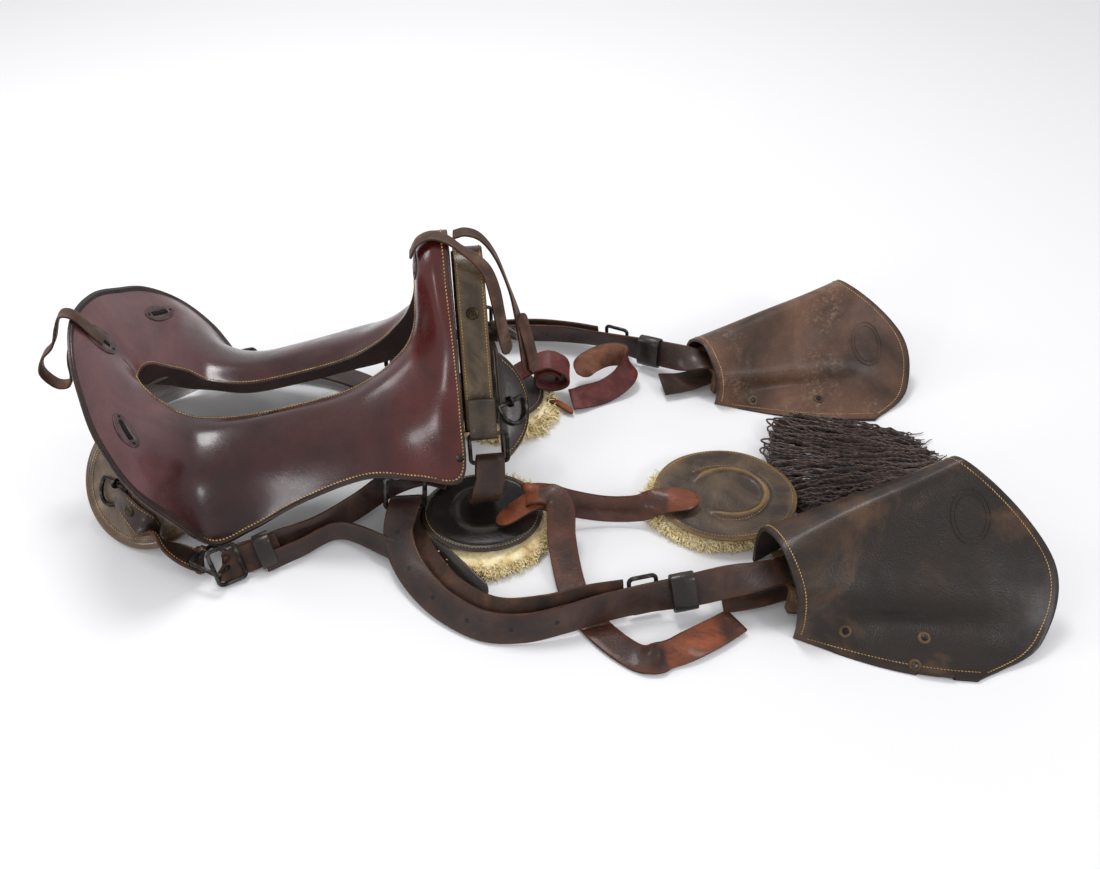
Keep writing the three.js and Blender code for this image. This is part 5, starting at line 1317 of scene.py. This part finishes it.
def loose_end(soup, outer):
    """A short end that sticks out of the fan's outer or inner edge."""
    start = spot(FAN_TO if outer else FAN_FROM, r.uniform(0.02, 0.98)) - A(9 if outer else -6, 0)
    way = (A(1, 0.12) if outer else A(-1, 0.3)) + r.normal(0, 0.5, 2)
    q = np.linspace(0, 1, 16)
    xy = start + np.outer(q * r.uniform(5, 18), way)
    xy = xy + np.outer(np.sin(q * r.uniform(3, 9)), r.normal(0, 2.4, 2))
    xy[:, 0] = np.minimum(xy[:, 0], FAN_END)
    soup.add(*tube_mesh(lifted(xy, 2.4 + 3 * r.random() * (1 - q)), 1.1 - 0.6 * q, 5))


def loop(soup, share):
    """A loop of cord at the fan's inner edge."""
    u = 0.12 + 0.86 * share + r.uniform(0, 0.02)
    a, b = spot(FAN_FROM, u), spot(FAN_FROM, min(u + r.uniform(0.04, 0.14), 1))
    bulge = A(-r.uniform(6, 20), r.uniform(-2, 12) * u)
    q = np.linspace(0, 1, 24)
    xy = a + np.outer(q, b - a) + np.outer(np.sin(q * math.pi) ** 0.7, bulge) + A(4, 0)
    soup.add(*tube_mesh(lifted(xy, 4 + 9 * r.random() + 3 * np.sin(q * math.pi)), 1.25, 6))


cords = Soup()
for k in range(CORDS):
    cord(cords, (k + 0.5) / CORDS)
for k in range(LOOSE_ENDS):
    loose_end(cords, k % 3)
for k in range(LOOPS):
    loop(cords, k / LOOPS)
cords.make("cincha_cords", [MOHAIR], "saddle", "mohair", stands_for=["cincha_strands"])


# ---- hoods ---------------------------------------------------------------------------------------
# Each hood lies on its open back, ridge up. top and toe are its ends from the floor on the near
# side over the ridge to the far side: along it, across it and up from the foot of the ridge.
HOODS = {
    "near": dict(origin=[260, -191, 0], yaw=14,
                 top=A([0, -62, 0], [0, -62, 34], [0, -44, 66], [0, 0, 80], [0, 40, 64], [0, 50, 34],
                       [0, 48, 1]),
                 toe=A([172, -161, 0], [243, -137, 15], [277, -79, 65], [208, 0, 156], [208, 46, 110],
                       [202, 76, 66], [196, 92, 32]),
                 rivets=([47, -79, 22], [123, -112, 35], [106, -128, 8]), mark=[0.8, 0.42], mat=HOOD_NEAR),
    "far": dict(origin=[221, 172, 0], yaw=20,
                top=A([0, -50, 0], [0, -54, 26], [0, -38, 52], [0, 0, 66], [0, 32, 50], [0, 44, 24],
                      [0, 44, 0]),
                toe=A([196, -156, 0], [250, -120, 14], [268, -66, 56], [218, 0, 116], [226, 44, 78],
                      [216, 78, 34], [196, 94, 0]),
                rivets=([46, -70, 8], [126, -100, 20]), mark=[0.8, 0.33], mat=HOOD_FAR),
}
HOOD_COLS, HOOD_ROWS = 110, 64
FLANGE_SWELL, FOLD_DEPTH = 14, 12  # how far the flange bows out, and the sides fall in above it
FLOOR_GAP = 0.3
OVALS = ((21, 29, 0.8), (16.5, 24, 0.6))  # of the mark: half its length and width, and the line
WASHER_SHAPE = ((0.01, 1.2), (5.4, 1.1), (6.6, 0.6), (7.0, -0.8))
RIVET = ((0.01, 1.9), (2.0, 1.7), (3.4, 0.8), (3.8, -0.2))


def bell(v, at, wide):
    return np.exp(-((v - at) / wide) ** 2)


def from_ends(count):
    return np.minimum(np.arange(count), np.arange(count)[::-1])


def hood_grid(h):
    """Outer points of a hood, row by row from its top to its toe."""
    across = np.linspace(0, 1, HOOD_COLS + 1)
    reach = 1 - 0.05 * bell(across, 0.53, 0.1) - 0.07 * bell(across, 0, 0.07) - 0.1 * bell(across, 1, 0.07)
    share = np.linspace(0, 1, HOOD_ROWS + 1)[:, None] * reach
    g = along(h["top"], across) * (1 - share[..., None]) + along(h["toe"], across) * share[..., None]
    crease = bell(np.abs(across - 0.5), 0.34, 0.07)
    flange = np.where(across < 0.5, bell(across, 0, 0.08), 0)
    swell = FLANGE_SWELL * flange - np.sign(0.5 - across) * FOLD_DEPTH * crease
    arch = np.sin(math.pi * share)
    g[..., 1] -= swell * arch
    soft = 1.6 * np.sin(7 * share + 9 * across) * arch * np.sin(math.pi * across)
    g[..., 2] = np.maximum(g[..., 2] + soft, HOOD_T * np.minimum(1, 0.2 + share))
    return g


def hood(side):
    """A leather hood with its stitching, its mark of two plain ovals and its rivets."""
    h = HOODS[side]
    c, s = math.cos(math.radians(h["yaw"])), math.sin(math.radians(h["yaw"]))
    spin = A([c, s, 0], [-s, c, 0], [0, 0, 1])
    body, slot = f"stirrup_{side}_body", "hood_leather"

    def place(p):
        return on_set(np.asarray(p, float) @ spin + A(*h["origin"]))
    g = hood_grid(h)
    rows, cols = g.shape[:2]
    centre = np.zeros_like(g)
    centre[..., 0] = g[:, HOOD_COLS // 2, 0][:, None]
    n = grid_normals(g, False, False, centre)
    outer, inner = g.copy(), g - n * HOOD_T
    for sheet in (outer, inner):
        sheet[..., 2] = np.maximum(sheet[..., 2], FLOOR_GAP)
    faces = grid_faces(rows, 2 * cols, False, True)
    kinds = np.append(np.tile(np.arange(2 * cols) >= cols, rows - 1), np.zeros(2 * (cols - 1), bool))
    for first in (0, (rows - 1) * 2 * cols):
        last = first + 2 * cols - 1
        faces += [[first + k, first + k + 1, last - 1 - k, last - k] for k in range(cols - 1)]
    wear = np.clip(1 - np.minimum.outer(from_ends(rows), from_ends(cols)) / WORN_COLS, 0, 1)
    piece(f"hood_{side}_leather", place(np.concatenate([outer, inner[:, ::-1]], 1).reshape(-1, 3)), faces,
          [h["mat"], UNDER], body, slot, [f"hood_{side}"], slots=kinds, bevel=0.8,
          floats={"wear": np.concatenate([wear, wear[:, ::-1]], 1).ravel()})

    lines = Soup()
    for row, a, b in ((rows - 3, 4, cols - 4), (2, 6, cols - 6)):
        stitches(lines, place(outer[row, a:b]), n[row, a:b] @ spin, 3.4, 2.6, 0.62)
    for col in (4, cols - 5):
        stitches(lines, place(outer[4:-4, col]), n[4:-4, col] @ spin, 3.4, 2.4, 0.5)
    row, col = (int(share * size) for share, size in zip(h["mark"], (HOOD_ROWS, HOOD_COLS)))
    up = n[row, col]
    x = unit(g[row + 3, col] - g[row - 3, col])
    y = unit(np.cross(up, x))
    tree = BVHTree.FromPolygons([Vector(v) for v in g.reshape(-1, 3)], grid_faces(rows, cols, False, False))
    a = circle(72)
    for long, wide, thick in OVALS:
        path = drape(g[row, col] + np.outer(np.cos(a) * long, x) + np.outer(np.sin(a) * wide, y), up, tree)
        lines.add(*tube_mesh(place(path), thick, 8, True), 3)
    flat = outer.reshape(-1, 3)
    for near_to in h["rivets"]:
        k = int(np.argmin(np.linalg.norm(flat - A(*near_to), axis=1)))
        at, up = place(flat[k]), n.reshape(-1, 3)[k] @ spin
        lines.add(*lathe_mesh(at, up, WASHER_SHAPE, 24), 2)
        lines.add(*lathe_mesh(at + up * 0.9, up, RIVET, 20), 1)
    lines.make(f"hood_{side}_sewing", [THREAD, IRON, WASHER, h["mat"]], body, slot)


hood("near")
hood("far")
gold.make("gold_stitches", [THREAD], "saddle", "strap_leather")

# The wooden parts are the CAD's own.
WOODEN = ("stirrup_near", "stirrup_far", "arch", "side_bar")
for node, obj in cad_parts.items():
    if any(word in node for word in WOODEN):
        for material_slot in obj.material_slots:
            material_slot.material = ASH


# ---- camera, light and floor ---------------------------------------------------------------------
scene = bpy.context.scene


def put(obj):
    scene.collection.objects.link(obj)
    return obj


PITCH = math.radians(42.6)
SENSOR, FOCAL_SHARE = 36, 1000 / 1100  # millimetres, and the lens as a share of the sensor's width
camera = put(bpy.data.objects.new("camera", bpy.data.cameras.new("camera")))
camera.location = (A(20.7, -891.8, 870.0) * MM).tolist()
camera.rotation_euler = (math.pi / 2 - PITCH, 0, 0)
camera.data.lens, camera.data.sensor_width = SENSOR * FOCAL_SHARE, SENSOR
camera.data.clip_start, camera.data.clip_end = 0.01, 50
scene.camera = camera


def softbox(name, at, target, size, power):
    lamp = bpy.data.lights.new(name, "AREA")
    lamp.shape, lamp.size, lamp.energy = "DISK", size, power
    obj = put(bpy.data.objects.new(name, lamp))
    obj.location = at
    obj.rotation_euler = (Vector(target) - Vector(at)).to_track_quat("-Z", "Y").to_euler()


softbox("overhead", (-0.3, 0.9, 2.1), (0, 0.2, 0), 0.7, 21)
softbox("front_right", (1.5, -1.1, 1.3), (0, 0, 0.1), 0.5, 8)
softbox("left_rim", (-1.8, 0.3, 1.1), (0, 0, 0.1), 0.6, 6)
softbox("front_left", (-1.0, -1.3, 0.8), (-0.1, 0, 0.2), 0.35, 3.4)
world = bpy.data.worlds.new("world")
world.use_nodes = True
sky = world.node_tree.nodes["Background"].inputs
sky["Color"].default_value = (1, 1, 1, 1)
sky["Strength"].default_value = 0.72
scene.world = world
scene.view_settings.view_transform = "Standard"

FLOOR_REACH = 40.0  # metres
floor_mesh = bpy.data.meshes.new("floor")
corners = [(x * FLOOR_REACH, y * FLOOR_REACH, 0) for x, y in ((-1, -1), (1, -1), (1, 1), (-1, 1))]
floor_mesh.from_pydata(corners, [], [(0, 1, 2, 3)])
floor_mat = bpy.data.materials.new("floor")
floor_mat.use_nodes = True
paint = floor_mat.node_tree.nodes["Principled BSDF"].inputs
paint["Base Color"].default_value = srgb(236, 236, 239)
paint["Roughness"].default_value = 0.7
floor_mesh.materials.append(floor_mat)
put(bpy.data.objects.new("floor", floor_mesh))
